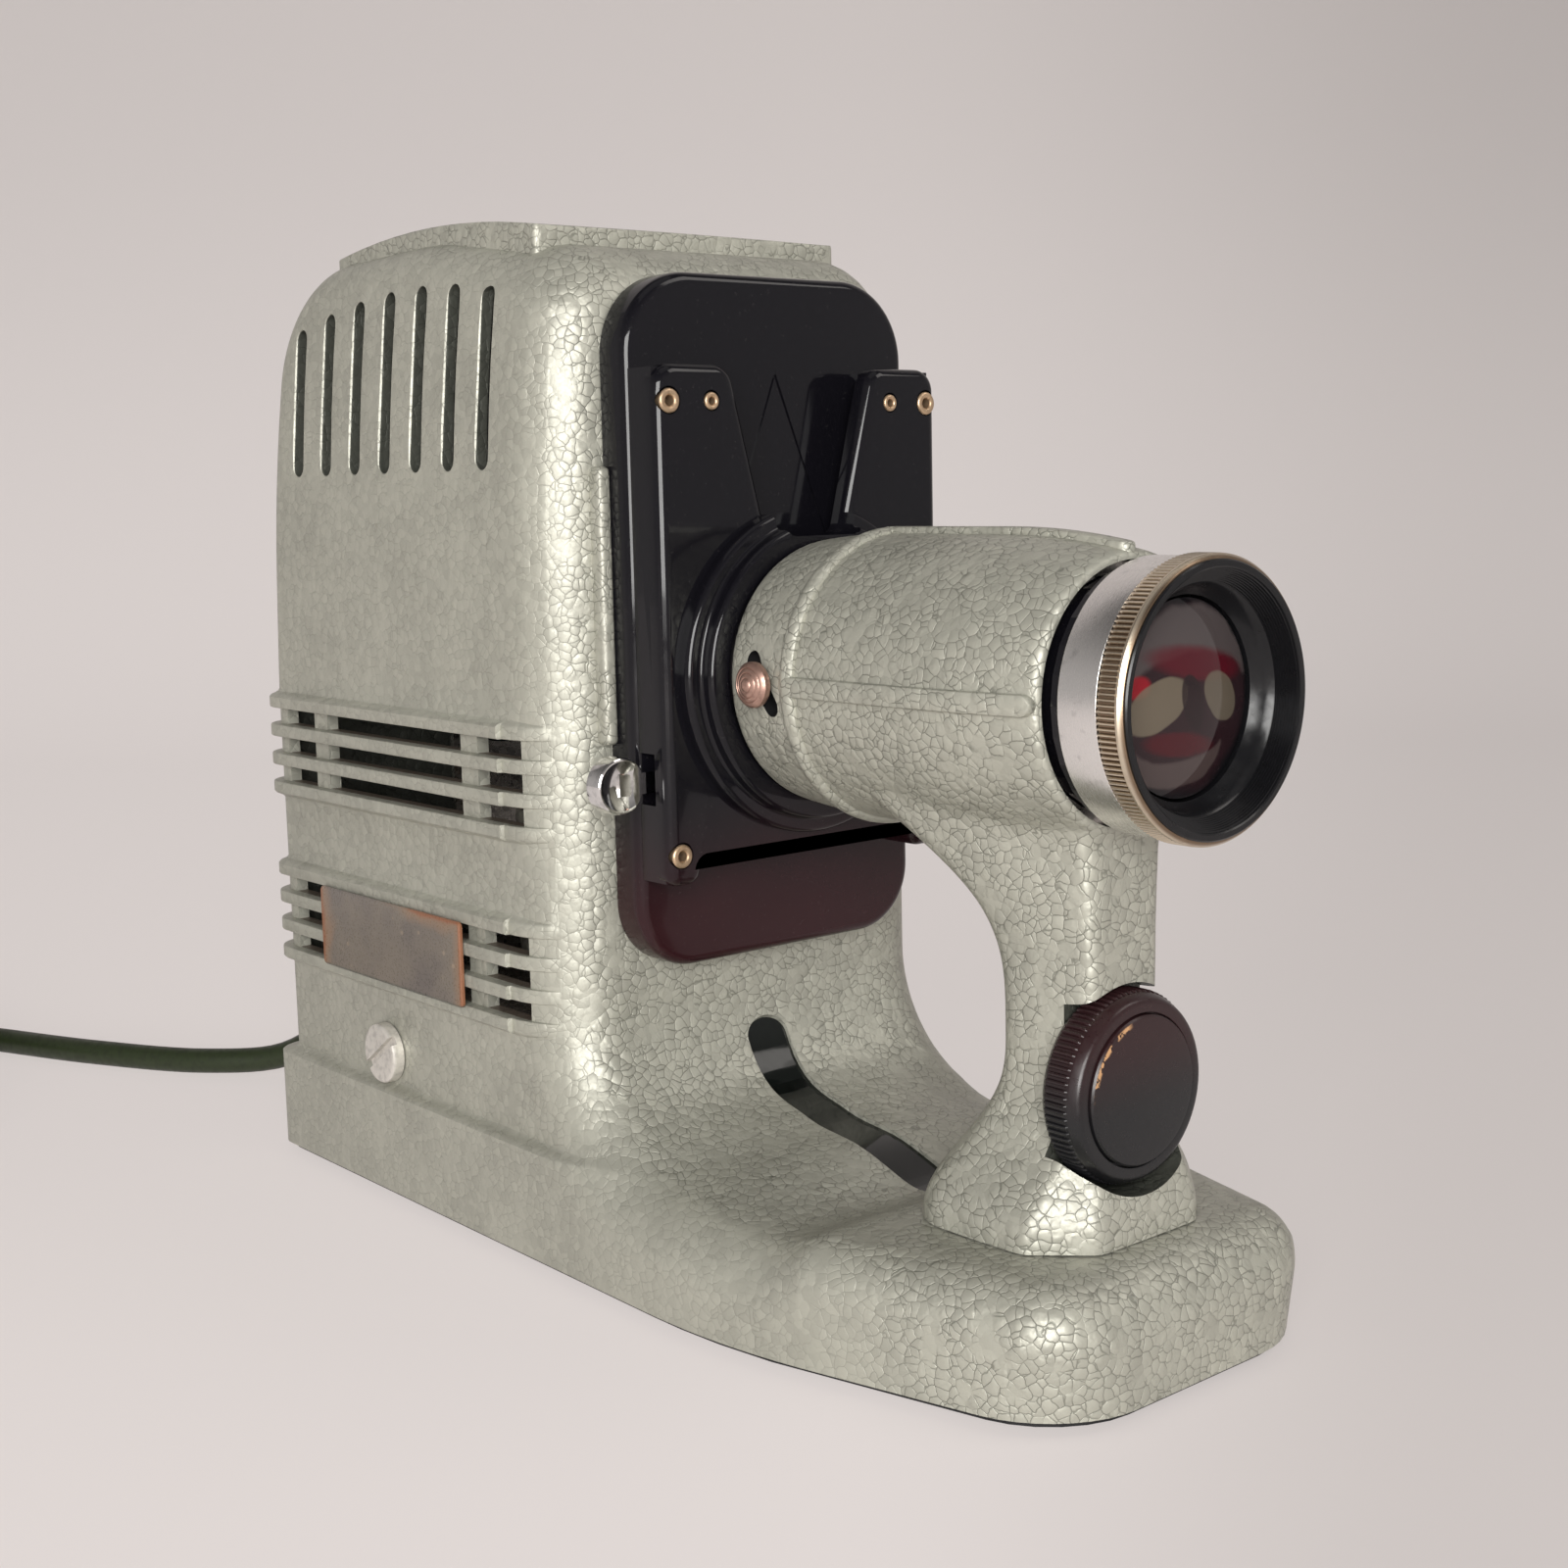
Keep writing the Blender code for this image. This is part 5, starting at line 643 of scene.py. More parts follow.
def mainsLead():
    gland = Vector(lead["gland"])
    way = Vector((-math.sin(lead["start"]), math.cos(lead["start"]), 0.0))
    low = lead["floor"] + lead["diameter"] / 2
    meet = coilPoint(0.0)
    places = [gland, gland + Vector((0.0, lead["diameter"], 0.0))]
    for left, back, above in zip(lead["left"], lead["back"], lead["above"]):
        places.append(Vector((gland.x - left, gland.y + back, low + above)))
    places += [meet - way * (lead["diameter"] * 3) - Vector((0.0, 0.0, lead["tie"])),
               meet - way * lead["diameter"], meet]
    line = smoothWay(places, 4.0)
    total = (2 * lead["turns"] + 0.5) * 2 * math.pi
    steps = round(total * lead["mean"] / 4.0)
    line += [coilPoint(total * step / steps) for step in range(1, steps + 1)]
    end = line[-1]
    line += [end - way * (lead["tail"] * step / 9) for step in range(1, 10)]
    curve = bpy.data.curves.new("mains_lead", "CURVE")
    curve.dimensions = "3D"
    curve.bevel_depth = lead["diameter"] / 2 * mm
    curve.bevel_resolution = 5
    curve.use_fill_caps = True
    spline = curve.splines.new("POLY")
    spline.points.add(len(line) - 1)
    for spot, point in zip(spline.points, line):
        spot.co = (*(toFrame @ point), 1.0)
    spline.use_smooth = True
    curve.materials.append(looks["cord"])
    piece = bpy.data.objects.new("mains_lead", curve)
    scene.collection.objects.link(piece)
    length = sum((after - before).length for before, after in zip(line, line[1:]))
    print("cord %.0f mm" % length)
    fit(piece, "base", "cord", "mains_cord", "cord_coil")
    return piece, end - way * lead["tail"], -way


cordPiece, plugStart, plugWay = mainsLead()
say("lead")


# casting

casting = {
    "wall": 3.0, "half": 55.0, "front": 9.2, "skirt": 3.2, "creaseZ": 24.9, "creaseRise": 1.9,
    "skirtFade": (-10.0, 24.0), "taperY": -45.3, "taperBlend": 23.0, "taperSlope": 0.275,
    "leanZ": 150.0, "leanSpan": 66.0, "leanIn": 4.5, "rearY": 141.2, "crownY": 70.0, "toeZ": 24.7,
    "corners": [
        # y, z, rounding, and the rounding of the side edge there
        (141.2, 0.0, 0.0, 6.0), (141.2, 122.0, 200.0, 6.0), (134.0, 226.5, 30.0, 6.5),
        (70.0, 228.6, 200.0, 8.0), (9.2, 224.6, 17.5, 16.5), (9.2, 130.6, 0.0, 17.0),
        (9.2, 26.72, 33.0, 17.0), (-52.0, 20.6, 30.0, 14.0), (-63.0, 24.7, 14.0, 11.0),
        (-121.8, 24.7, 13.0, 11.0), (-121.8, 0.0, 0.0, 18.0),
    ],
}
louvres = {
    "bands": (50.7, 94.7), "count": 4, "rib": 3.2, "pitch": 7.45, "proud": 2.6, "shallow": 1.5, "stepY": 23.7,
    "spans": ((23.0, 40.7), (47.8, 111.3), (118.0, 132.6)), "shoulder": 1.5,
}
vents = {"count": 7, "pitch": 14.3, "first": 35.3, "width": 5.0, "bottom": 176.0, "top": 218.0,
         "topY": 68.0, "fall": 3.9, "lip": 0.5}


def castingHalf(y, z):
    c = casting
    fade = ease(y, *c["skirtFade"])
    step = c["skirt"] * fade * ease(z, c["creaseZ"], c["creaseZ"] + c["creaseRise"])
    lean = c["leanIn"] * (max(z - c["leanZ"], 0.0) / c["leanSpan"]) ** 2
    ahead = c["taperY"] + c["taperBlend"] - y
    drop = 0.0
    if ahead > 2 * c["taperBlend"]:
        drop = c["taperSlope"] * (c["taperY"] - y)
    elif ahead > 0:
        drop = c["taperSlope"] * ahead * ahead / (4 * c["taperBlend"])
    return c["half"] + c["skirt"] - step - lean - drop


def castingOutline(arc):
    corners = casting["corners"]
    outline = roundedPath([item[:3] for item in corners], arc)
    run = [0.0]
    for before, after in zip(outline, outline[1:]):
        run.append(run[-1] + (after - before).length)
    keys = []
    for a, b, radius, edge in corners:
        gaps = [(point - Vector((a, b))).length for point in outline]
        keys.append((run[gaps.index(min(gaps))], edge))
    edges = []
    for place in run:
        for (low, first), (high, last) in zip(keys, keys[1:]):
            if place <= high + 0.3:
                share = (place - low) / max(high - low, 0.3)
                edges.append(first + (last - first) * min(max(share, 0.0), 1.0))
                break
    return outline, edges


def leftward(outline, index):
    before = outline[max(index - 1, 0)]
    after = outline[min(index + 1, len(outline) - 1)]
    run = (after - before).normalized()
    return Vector((-run.y, run.x))


def castingShell(inset, arc, ringCount, levels, stations):
    c = casting
    outline, edges = castingOutline(arc)
    outline = [point + leftward(outline, index) * inset for index, point in enumerate(outline)]
    if inset > 0:
        outline[0].y = outline[-1].y = -2.0
    shape = bmesh.new()
    right, left = [], []
    for ring in range(ringCount):
        swing = math.pi / 2 * ring / (ringCount - 1)
        edgeHere = [max(edge - inset, c["wall"]) for edge in edges]
        drawn = [point + leftward(outline, index) * (edgeHere[index] * (1 - math.cos(swing)))
                 for index, point in enumerate(outline)]
        drawn[0].y, drawn[-1].y = outline[0].y, outline[-1].y
        for side, rows in ((1, right), (-1, left)):
            rows.append([shape.verts.new((side * (c["half"] + c["skirt"] - inset
                                                  - edgeHere[index] * (1 - math.sin(swing))), y, z))
                         for index, (y, z) in enumerate(drawn)])
    bands = [(right[0], left[0])] + list(zip(right, right[1:])) + list(zip(left[1:], left))
    for one, two in bands:
        for index in range(len(outline) - 1):
            shape.faces.new((one[index], one[index + 1], two[index + 1], two[index]))
    shape.faces.new(right[-1])
    shape.faces.new(left[-1][::-1])
    bottom = [ring[0] for ring in reversed(right)] + [ring[0] for ring in left]
    bottom += [ring[-1] for ring in reversed(left)] + [ring[-1] for ring in right]
    shape.faces.new(bottom)
    bmesh.ops.recalc_face_normals(shape, faces=shape.faces)
    spots = [((0, 0, z), (0, 0, 1)) for z in levels] + [((0, y, 0), (0, 1, 0)) for y in stations]
    spots += [((x, 0, 0), (1, 0, 0)) for x in (-32.0, -24.0, -16.0, -8.0, 0.0, 8.0, 16.0, 24.0, 32.0)]
    for spot, way in spots:
        everything = list(shape.verts) + list(shape.edges) + list(shape.faces)
        bmesh.ops.bisect_plane(shape, geom=everything, dist=0.002, plane_co=spot, plane_no=way)
    for spot in shape.verts:
        x, y, z = spot.co
        pull = c["half"] + c["skirt"] - castingHalf(y, max(z, 0.0))
        swell = 1.0 - ease(z, c["creaseZ"], c["creaseZ"] + c["creaseRise"])
        if y > c["crownY"]:
            y += swell * c["skirt"] * (y - c["crownY"]) / (c["rearY"] - c["crownY"])
        # the crown dips to the front, and the swoop is fuller along its middle
        z -= 1.3 * ease(z, 190.0, 222.0) * (1.0 - ease(y, 24.0, 60.0))
        middle = max(0.0, 1.0 - (abs(x) / 44.0) ** 2.5)
        z += 4.4 * middle * ease(y, -54.0, -28.0) * (1.0 - ease(y, -14.0, 6.0)) * (1.0 - ease(z, 60.0, 80.0))
        spot.co = (x - math.copysign(pull * min(1.0, abs(x) / 30.0), x), y, z)
    bmesh.ops.triangulate(shape, faces=[face for face in shape.faces if len(face.verts) > 4])
    return shape


def ribPath(proud, front):
    # half of a rib's plan, from its faded front end to the middle of the rear wall
    half, rear, bend, edge = casting["half"], casting["rearY"], 17.0, louvres["stepY"] + 5.0
    stops = []
    for step in range(13):
        turn = math.radians(-82.0 + 82.0 * step / 12)
        grow = front * ease(step, 0, 7) - 1.2 * (1 - ease(step, 0, 5))
        stops.append((Vector((half - bend, 9.2 + bend + 1.5)), bend, turn, grow))
    stops.append((Vector((half - bend, edge - 0.3)), bend, 0.0, front))
    stops.append((Vector((half - bend, edge)), bend, 0.0, proud))
    for step in range(9):
        stops.append((Vector((half - 6.0, rear - 6.0)), 6.0, math.pi / 2 * step / 8, proud))
    stops.append((Vector((0.0, rear - 6.0)), 6.0, math.pi / 2, proud))
    return stops


def louvreRib(above, below):
    # shoulders above or below ease the rib into the wall
    stops = ribPath(louvres["proud"], louvres["shallow"])
    rib, soft = louvres["rib"], 0.45
    cross = []
    if above:
        cross += [(-1.4, rib + above + 0.6), (0.0, rib + above), (0.12, rib + above * 0.62), (0.45, rib + above * 0.3),
                  (0.8, rib + above * 0.06), (1.0, rib - soft)]
    else:
        cross += [(-1.4, rib), (0.82, rib), (0.95, rib - soft * 0.3), (1.0, rib - soft)]
    if below:
        cross += [(1.0, soft), (0.8, -below * 0.06), (0.45, -below * 0.3), (0.12, -below * 0.62), (0.0, -below),
                  (-1.4, -below - 0.6)]
    else:
        cross += [(1.0, soft), (0.95, soft * 0.3), (0.82, 0.0), (-1.4, 0.0)]
    rings = []
    for side, run in ((-1, stops[:-1]), (1, stops[::-1])):
        for centre, radius, turn, grow in run:
            ring = []
            for share, z in cross:
                reach = radius + (share * max(grow, 0.0) + min(grow, 0.0) if share >= 0 else share)
                ring.append((side * (centre.x + reach * math.cos(turn)), centre.y + reach * math.sin(turn), z))
            rings.append(ring)
    return skin(rings)


def ventTool(side, number):
    v = vents
    y = v["first"] + v["pitch"] * number
    away = (y - v["topY"]) / (v["pitch"] * (v["count"] - 1) / 2)
    top = v["top"] - v["fall"] * away * away
    rings = []
    for depth, grow in ((1.6, 1.0), (0.1, 0.62), (-0.1, 0.34), (-0.25, 0.14), (-0.45, 0.03), (-0.9, 0.0), (-7.0, 0.0)):
        half = v["width"] / 2 + grow * v["lip"]
        ring = []
        for first, mid in ((0.0, top - v["width"] / 2), (math.pi, v["bottom"] + v["width"] / 2)):
            for step in range(13):
                turn = first + math.pi * step / 12
                a, b = y + half * math.cos(turn), mid + half * math.sin(turn)
                ring.append((side * (castingHalf(a, b) + depth), a, b))
        rings.append(ring)
    tool = skin(rings)
    # slot walls deeper than the lip take the painted-shade paint
    for face in tool.faces:
        deep = min(castingHalf(spot.co.y, spot.co.z) - abs(spot.co.x) for spot in face.verts)
        face.material_index = 1 if deep > 0.15 else 0
    return tool


def swoopTool(half=6.0):
    tilt = math.pi / 4
    reach = half * math.cos(tilt)
    low = -58.0 * math.cos(tilt) + 20.6 * math.sin(tilt) + reach
    high = 9.2 * math.cos(tilt) + 46.9 * math.sin(tilt) - reach
    points = []
    for centre, first in ((high, 0.0), (low, math.pi)):
        for step in range(17):
            turn = first + math.pi * step / 16
            points.append((half * math.cos(turn), centre + reach * math.sin(turn)))
    tool = prism(points, "z", 15.0, 66.0)
    bmesh.ops.rotate(tool, verts=tool.verts, cent=(0, 0, 0), matrix=Matrix.Rotation(tilt, 3, "X"))
    return tool


def bodyCasting():
    c = casting
    levels = [c["creaseZ"] + c["creaseRise"] * step / 5 for step in range(6)] + [150.0 + 8.0 * step for step in range(10)]
    stations = [-115.0 + 5.0 * step for step in range(29)]
    body = put("body_casting", castingShell(0.0, 4.0, 10, levels, stations), "paint")
    body.data.materials.append(looks["inside"])
    body.data.materials.append(looks["dusty"])
    ribs = []
    for band in louvres["bands"]:
        pitch = louvres["pitch"]
        ribs.append(moved(repeat(louvreRib(0, 0), "paint", 2, step=(0, 0, pitch)), z=band + pitch))
        ribs.append(moved(louvreRib(0, louvres["shoulder"]), z=band))
        ribs.append(moved(louvreRib(louvres["shoulder"], 0), z=band + pitch * 3))
    # a raised strip beside the stage's left edge
    strip = roundedLoop([(-43.4, 116.0, 1.3), (-40.0, 116.0, 1.3), (-40.0, 176.0, 1.3), (-43.4, 176.0, 1.3)], 22.5)
    ribs.append(pillow(strip, 6.2, 14.0, 1.2, 3))
    carve(body, merge(*ribs), "UNION")
    hollow = castingShell(3.0, 15.0, 5, levels[:6] + [150.0 + 14.0 * step for step in range(6)],
                          [-68.0, -45.0, -30.0, -10.0, 10.0, 24.0])
    # the casting's inner walls, seen through the louvres, take the painted-shade paint
    for face in hollow.faces:
        face.material_index = 1
    carve(body, hollow)
    carve(body, swoopTool())
    cuts = []
    for band in louvres["bands"]:
        for number in range(3):
            low = band + louvres["rib"] + louvres["pitch"] * number
            for span in louvres["spans"]:
                gap = block((-60.0, 60.0), span, (low + 0.02, low + 4.23))
                for face in gap.faces:
                    face.material_index = 2 if abs(face.normal.z) > 0.9 else 0
                cuts.append(gap)
    cuts += [ventTool(side, number) for side in (-1, 1) for number in range(vents["count"])]
    cuts.append(block((-36.2, 36.2), (34.0, 105.0), (214.0, 232.0)))
    cuts.append(prism(circlePoints((0.0, 130.6), 26.8, 64), "y", 7.0, 15.0))
    cuts.append(prism(circlePoints((87.4, 34.4), 3.3, 24), "x", -62.0, 62.0))
    cuts.append(prism(circlePoints((-15.0, 17.0), 7.3, 32), "y", 136.0, 148.0))
    cuts.append(block((3.45, 9.4), (-93.7, -86.3), (19.0, 28.0)))
    cuts.append(prism(circlePoints((0.0, -76.0), 2.8, 24), "z", 19.0, 28.0))
    carve(body, merge(*cuts))
    return fit(body, "base", "paint", "body_casting")


bodyCasting()
say("casting")


# vent cover

cover = {"half": 43.2, "front": 27.0, "rear": 116.0, "apexY": 73.0, "apexZ": 232.5, "bend": 0.0018, "corner": 1.6,
         "slots": 6, "pitch": 12.2, "slot": 4.6, "margin": 12.0}


def coverTop(y, x):
    c = cover
    return c["apexZ"] - c["bend"] * (y - c["apexY"]) ** 2 - 0.25 * (x / c["half"]) ** 2


def ventCover():
    c = cover
    plan = roundedLoop([(-c["half"], c["front"], c["corner"]), (c["half"], c["front"], c["corner"]),
                        (c["half"], c["rear"], c["corner"]), (-c["half"], c["rear"], c["corner"])], 22.5)
    shape = prism([(p.x, p.y) for p in plan], "z", 0.0, 1.0)
    spots = [((0, y, 0), (0, 1, 0)) for y in (34, 42, 50, 58, 66, 73, 80, 88, 96, 104, 110)]
    spots += [((x, 0, 0), (1, 0, 0)) for x in (-28, -14, 0, 14, 28)] + [((0, 0, z), (0, 0, 1)) for z in (0.75, 0.92)]
    for spot, way in spots:
        bmesh.ops.bisect_plane(shape, geom=list(shape.verts) + list(shape.edges) + list(shape.faces), dist=0.002,
                               plane_co=spot, plane_no=way)
    for spot in shape.verts:
        x, y, share = spot.co
        top = coverTop(y, x)
        low = top - 5.2 + 1.4 * ease(y, 80.0, 116.0) - 2.4 * ease(abs(x), 36.0, 42.0) * (1.0 - ease(y, 60.0, 84.0))
        z = low + (top - low) * share
        shrink = 1.0 - (0.3 / c["half"]) * (1.0 if share > 0.97 else 0.0)
        spot.co = (x * shrink, y + (0.3 if share > 0.97 and y < c["front"] + 0.1 else 0.0), z)
    bmesh.ops.triangulate(shape, faces=[face for face in shape.faces if len(face.verts) > 4])
    piece = put("top_vent_cover", shape, "paint")
    piece.data.materials.append(looks["inside"])
    cuts, ribs = [], []
    for number in range(c["slots"]):
        x = (number - (c["slots"] - 1) / 2) * c["pitch"]
        near, far, half = c["front"] + c["margin"], 100.0, c["slot"] / 2
        ends = [(x + half * math.cos(math.pi * k / 8), far + half * math.sin(math.pi * k / 8)) for k in range(9)]
        ends += [(x - half * math.cos(math.pi * k / 8), near - half * math.sin(math.pi * k / 8)) for k in range(9)]
        cut = prism(ends, "z", 210.0, 240.0)
        # the slot walls take the painted-shade paint
        for face in cut.faces:
            face.material_index = 1
        cuts.append(cut)
    carve(piece, merge(*cuts))
    return fit(piece, "base", "paint", "top_vent_cover")


def slotLiner():
    # a gloss strip that fills the swoop's slot to just under its rim
    shell = castingShell(0.9, 6.0, 5, [], [-60.0 + 3.0 * step for step in range(24)])
    bmesh.ops.triangulate(shell, faces=list(shell.faces))
    piece = put("slot_liner", shell, "gloss")
    keep = block((-9.0, 9.0), (-60.0, 9.0), (14.0, 60.0))
    carve(piece, keep, "INTERSECT")
    core = castingShell(3.4, 6.0, 5, [], [-60.0 + 3.0 * step for step in range(24)])
    carve(piece, core)
    carve(piece, swoopTool(5.94), "INTERSECT")
    return fit(piece, "base", "bakelite", "slot_liner")


ventCover()
slotLiner()
say("cover")


# lens stand

stand = {"axisZ": 130.6, "rear": -17.8, "front": -104.6, "radius": 30.2, "rearRadius": 28.6, "frontRadius": 27.2,
         "midY": -39.0, "bellyY": -72.0, "bore": 25.5, "voxel": 0.9, "footLip": 2.2}


def tubeRadius(y):
    s = stand
    if y > s["midY"]:
        return s["radius"] + (s["rearRadius"] - s["radius"]) * ((y - s["midY"]) / (s["rear"] - s["midY"])) ** 1.6
    if y > s["bellyY"]:
        return s["radius"]
    share = (s["bellyY"] - y) / (s["bellyY"] - s["front"])
    return s["radius"] + (s["frontRadius"] - s["radius"]) * share ** 2


def standSection(z):
    foot = 1 - ease(z, 24.7 + 2.2, 62.0)
    head = ease(z, 62.3, 119.0)
    frontHalf = 9.0 + (26.0 * 0.95 - 9.0) * foot ** 1.7
    rearHalf = 13.5 + 12.5 * foot ** 1.7 + (30.2 * 0.80 - 13.5) * head ** 2.2
    front = -103.0 - 6.0 * foot ** 1.7
    rear = -79.5 + 13.5 * foot ** 1.35 + (-39.0 + 79.5) * head ** 2.2
    frontHalf += (rearHalf - 9.0) * ease(z, 100.4, 119.0)
    return frontHalf, rearHalf, front, rear


def standColumn():
    rings = []
    levels = [20.0, 24.7, 25.8, 27.2] + [27.2 + (119.0 - 27.2) * step / 44 for step in range(1, 45)]
    for z in levels:
        frontHalf, rearHalf, front, rear = standSection(max(z, 27.2))
        depth = rear - front
        bevel = min(depth, rearHalf * 2) * 0.24
        middle = front + depth * 0.5
        belly = frontHalf + (rearHalf - frontHalf) * 0.72
        cut = 1.0 + 9.6 * (1 - ease(z, 25.0, 60.0)) ** 1.3
        side = [(0.0, front, 0.0), (frontHalf - cut, front, 1.2), (frontHalf + (belly - frontHalf) * 0.3, front + cut, 2.0),
                (belly, middle, 6.0), (rearHalf, rear, bevel), (0.0, rear, 0.0)]
        half = evenly(roundedPath(side, 12.0), 1.0)
        half = evenly([Vector((point.x, point.y, 0.0)) for point in half], 1.0)
        total = sum((after - before).length for before, after in zip(half, half[1:]))
        half = evenly(half, total / 40)
        ring = [(point.x, point.y, z) for point in half]
        ring += [(-point.x, point.y, z) for point in half[-2:0:-1]]
        rings.append(ring)
    return skin(rings)


def tubeShape(steps=96):
    s = stand
    profile = [(0.0, s["rear"]), (tubeRadius(s["rear"]) - 0.9, s["rear"]), (tubeRadius(s["rear"]), s["rear"] - 0.9)]
    for step in range(1, 30):
        y = s["rear"] - 1.0 + (s["front"] + 1.0 - s["rear"] + 1.0) * step / 30
        profile.append((tubeRadius(y), y))
    profile += [(tubeRadius(s["front"]), s["front"] + 0.8), (tubeRadius(s["front"]) - 0.7, s["front"]), (0.0, s["front"])]
    return lathe(profile, "y", (0.0, s["axisZ"]), steps)


def ringRib():
    profile = [(28.4, -41.3)]
    for step in range(9):
        turn = math.pi * step / 8
        y = -39.0 - 2.0 * math.cos(turn)
        profile.append((tubeRadius(y) - 0.25 + 1.55 * math.sin(turn) ** 0.7, y))
    profile.append((28.4, -36.7))
    return lathe(profile, "y", (0.0, stand["axisZ"]), 96)


def longRib(turn):
    # a flat-topped bar along the tube with a round front end
    half, proud, front, rear = 2.1, 1.3, -104.2, -38.6
    stops = [rear + (front + half - rear) * step / 24 for step in range(25)]
    stops += [front + half * (1 - math.sin(math.pi / 2 * step / 6)) for step in range(1, 6)]
    rings = []
    for y in stops:
        wide = half * math.sqrt(max(0.06, 1 - max(0.0, (front + half - y) / half) ** 2))
        seat = tubeRadius(y)
        cross = [(-wide, seat - 0.5), (-wide, seat + proud * 0.5), (-wide + 0.18, seat + proud * 0.86), (-wide + 0.5, seat + proud),
                 (wide - 0.5, seat + proud), (wide - 0.18, seat + proud * 0.86), (wide, seat + proud * 0.5), (wide, seat - 0.5),
                 (wide * 0.9, seat - 2.2), (-wide * 0.9, seat - 2.2)]
        rings.append([(out * math.cos(turn) - across * math.sin(turn), y,
                       stand["axisZ"] + out * math.sin(turn) + across * math.cos(turn)) for across, out in cross])
    return skin(rings)


def pinSlotPoints(half, reach=7.6):
    lean = math.radians(33.0)
    points = []
    for end in (1, -1):
        for step in range(13):
            turn = math.pi * step / 12 + (0 if end > 0 else math.pi)
            along = end * (reach - half) + half * math.sin(turn)
            across = half * math.cos(turn)
            points.append((-30.0 + along * math.sin(lean) + across * math.cos(lean),
                           stand["axisZ"] + along * math.cos(lean) - across * math.sin(lean)))
    return points


def lensStand():
    s = stand
    piece = put("lens_stand", merge(standColumn(), tubeShape()), "paint")
    step = piece.modifiers.new("skin", "REMESH")
    step.mode = "VOXEL"
    step.voxel_size = s["voxel"] * mm
    ease_ = piece.modifiers.new("soften", "SMOOTH")
    ease_.factor = 0.5
    ease_.iterations = 5
    bake(piece)
    carve(piece, block((-60.0, 60.0), (-130.0, -40.0), (0.0, 25.0)))
    carve(piece, ringRib(), "UNION")
    carve(piece, merge(*[longRib(turn) for turn in (0.0, math.pi / 2, math.pi)]), "UNION")
    carve(piece, prism(circlePoints((0.0, s["axisZ"]), s["bore"], 96), "y", -120.0, 0.0))
    piece.data.materials.append(looks["inside"])
    piece.data.materials.append(looks["matt"])
    pocket = prism(circlePoints((0.0, 54.0), 20.5, 96), "y", -125.0, -96.7)
    pinSlot = prism(pinSlotPoints(2.3), "x", -36.0, -20.0)
    # painted shade: the knob pocket's walls take the darkened paint and the focus pin slot's walls are painted matt
    # black
    for shape, index in ((pocket, 1), (pinSlot, 2)):
        for face in shape.faces:
            face.material_index = index
    carve(piece, merge(pocket, prism(circlePoints((0.0, -76.0), 2.8, 24), "z", 20.0, 32.7)))
    carve(piece, merge(pinSlot,
                       block((3.45, 9.4), (-93.7, -86.3), (20.0, 88.0))))
    carve(piece, block((-6.0, 6.4), (-93.1, -86.9), (48.0, 60.0)))
    carve(piece, prism(circlePoints((0.0, 54.0), 5.3, 32), "y", -99.0, -92.5))
    carve(piece, prism(circlePoints((0.0, 54.0), 3.3, 32), "y", -87.5, -81.7))
    return fit(piece, "base", "paint", "lens_stand")


lensStand()
say("stand")


# slide stage

stage = {"half": 40.2, "rearBack": 8.9, "frontFace": -10.9, "frontBack": -6.4, "edge": 2.4, "markX": 1.0, "markTop": 196.0}


def stageRear():
    h = stage["half"]
    plan = roundedLoop([(-h, 65.6, 15.0), (h, 65.6, 15.0), (h, 217.0, 18.0), (-h, 217.0, 18.0)], 5.0)
    piece = put("stage_rear_plate", pillow(plan, 0.0, stage["rearBack"], stage["edge"]), "bakelite")
    mark = roundedLoop([(stage["markX"] - 14.0, 160.0, 0.3), (stage["markX"] + 14.0, 160.0, 0.3),
                        (stage["markX"], stage["markTop"], 0.3)], 45.0)
    carve(piece, prism(mark, "y", -0.35, 1.0), "UNION")
    groove = [(stage["markX"] - 0.5, stage["markTop"] - 1.0), (stage["markX"] + 0.2, stage["markTop"] - 0.2),
              (stage["markX"] + 14.2, 160.3), (stage["markX"] + 13.6, 160.0)]
    carve(piece, prism(groove, "y", -1.0, 0.4))
    carve(piece, prism(circlePoints((0.0, 130.6), 23.5, 96), "y", -2.0, 12.0))
    return fit(piece, "base", "bakelite", "stage_rear_plate")


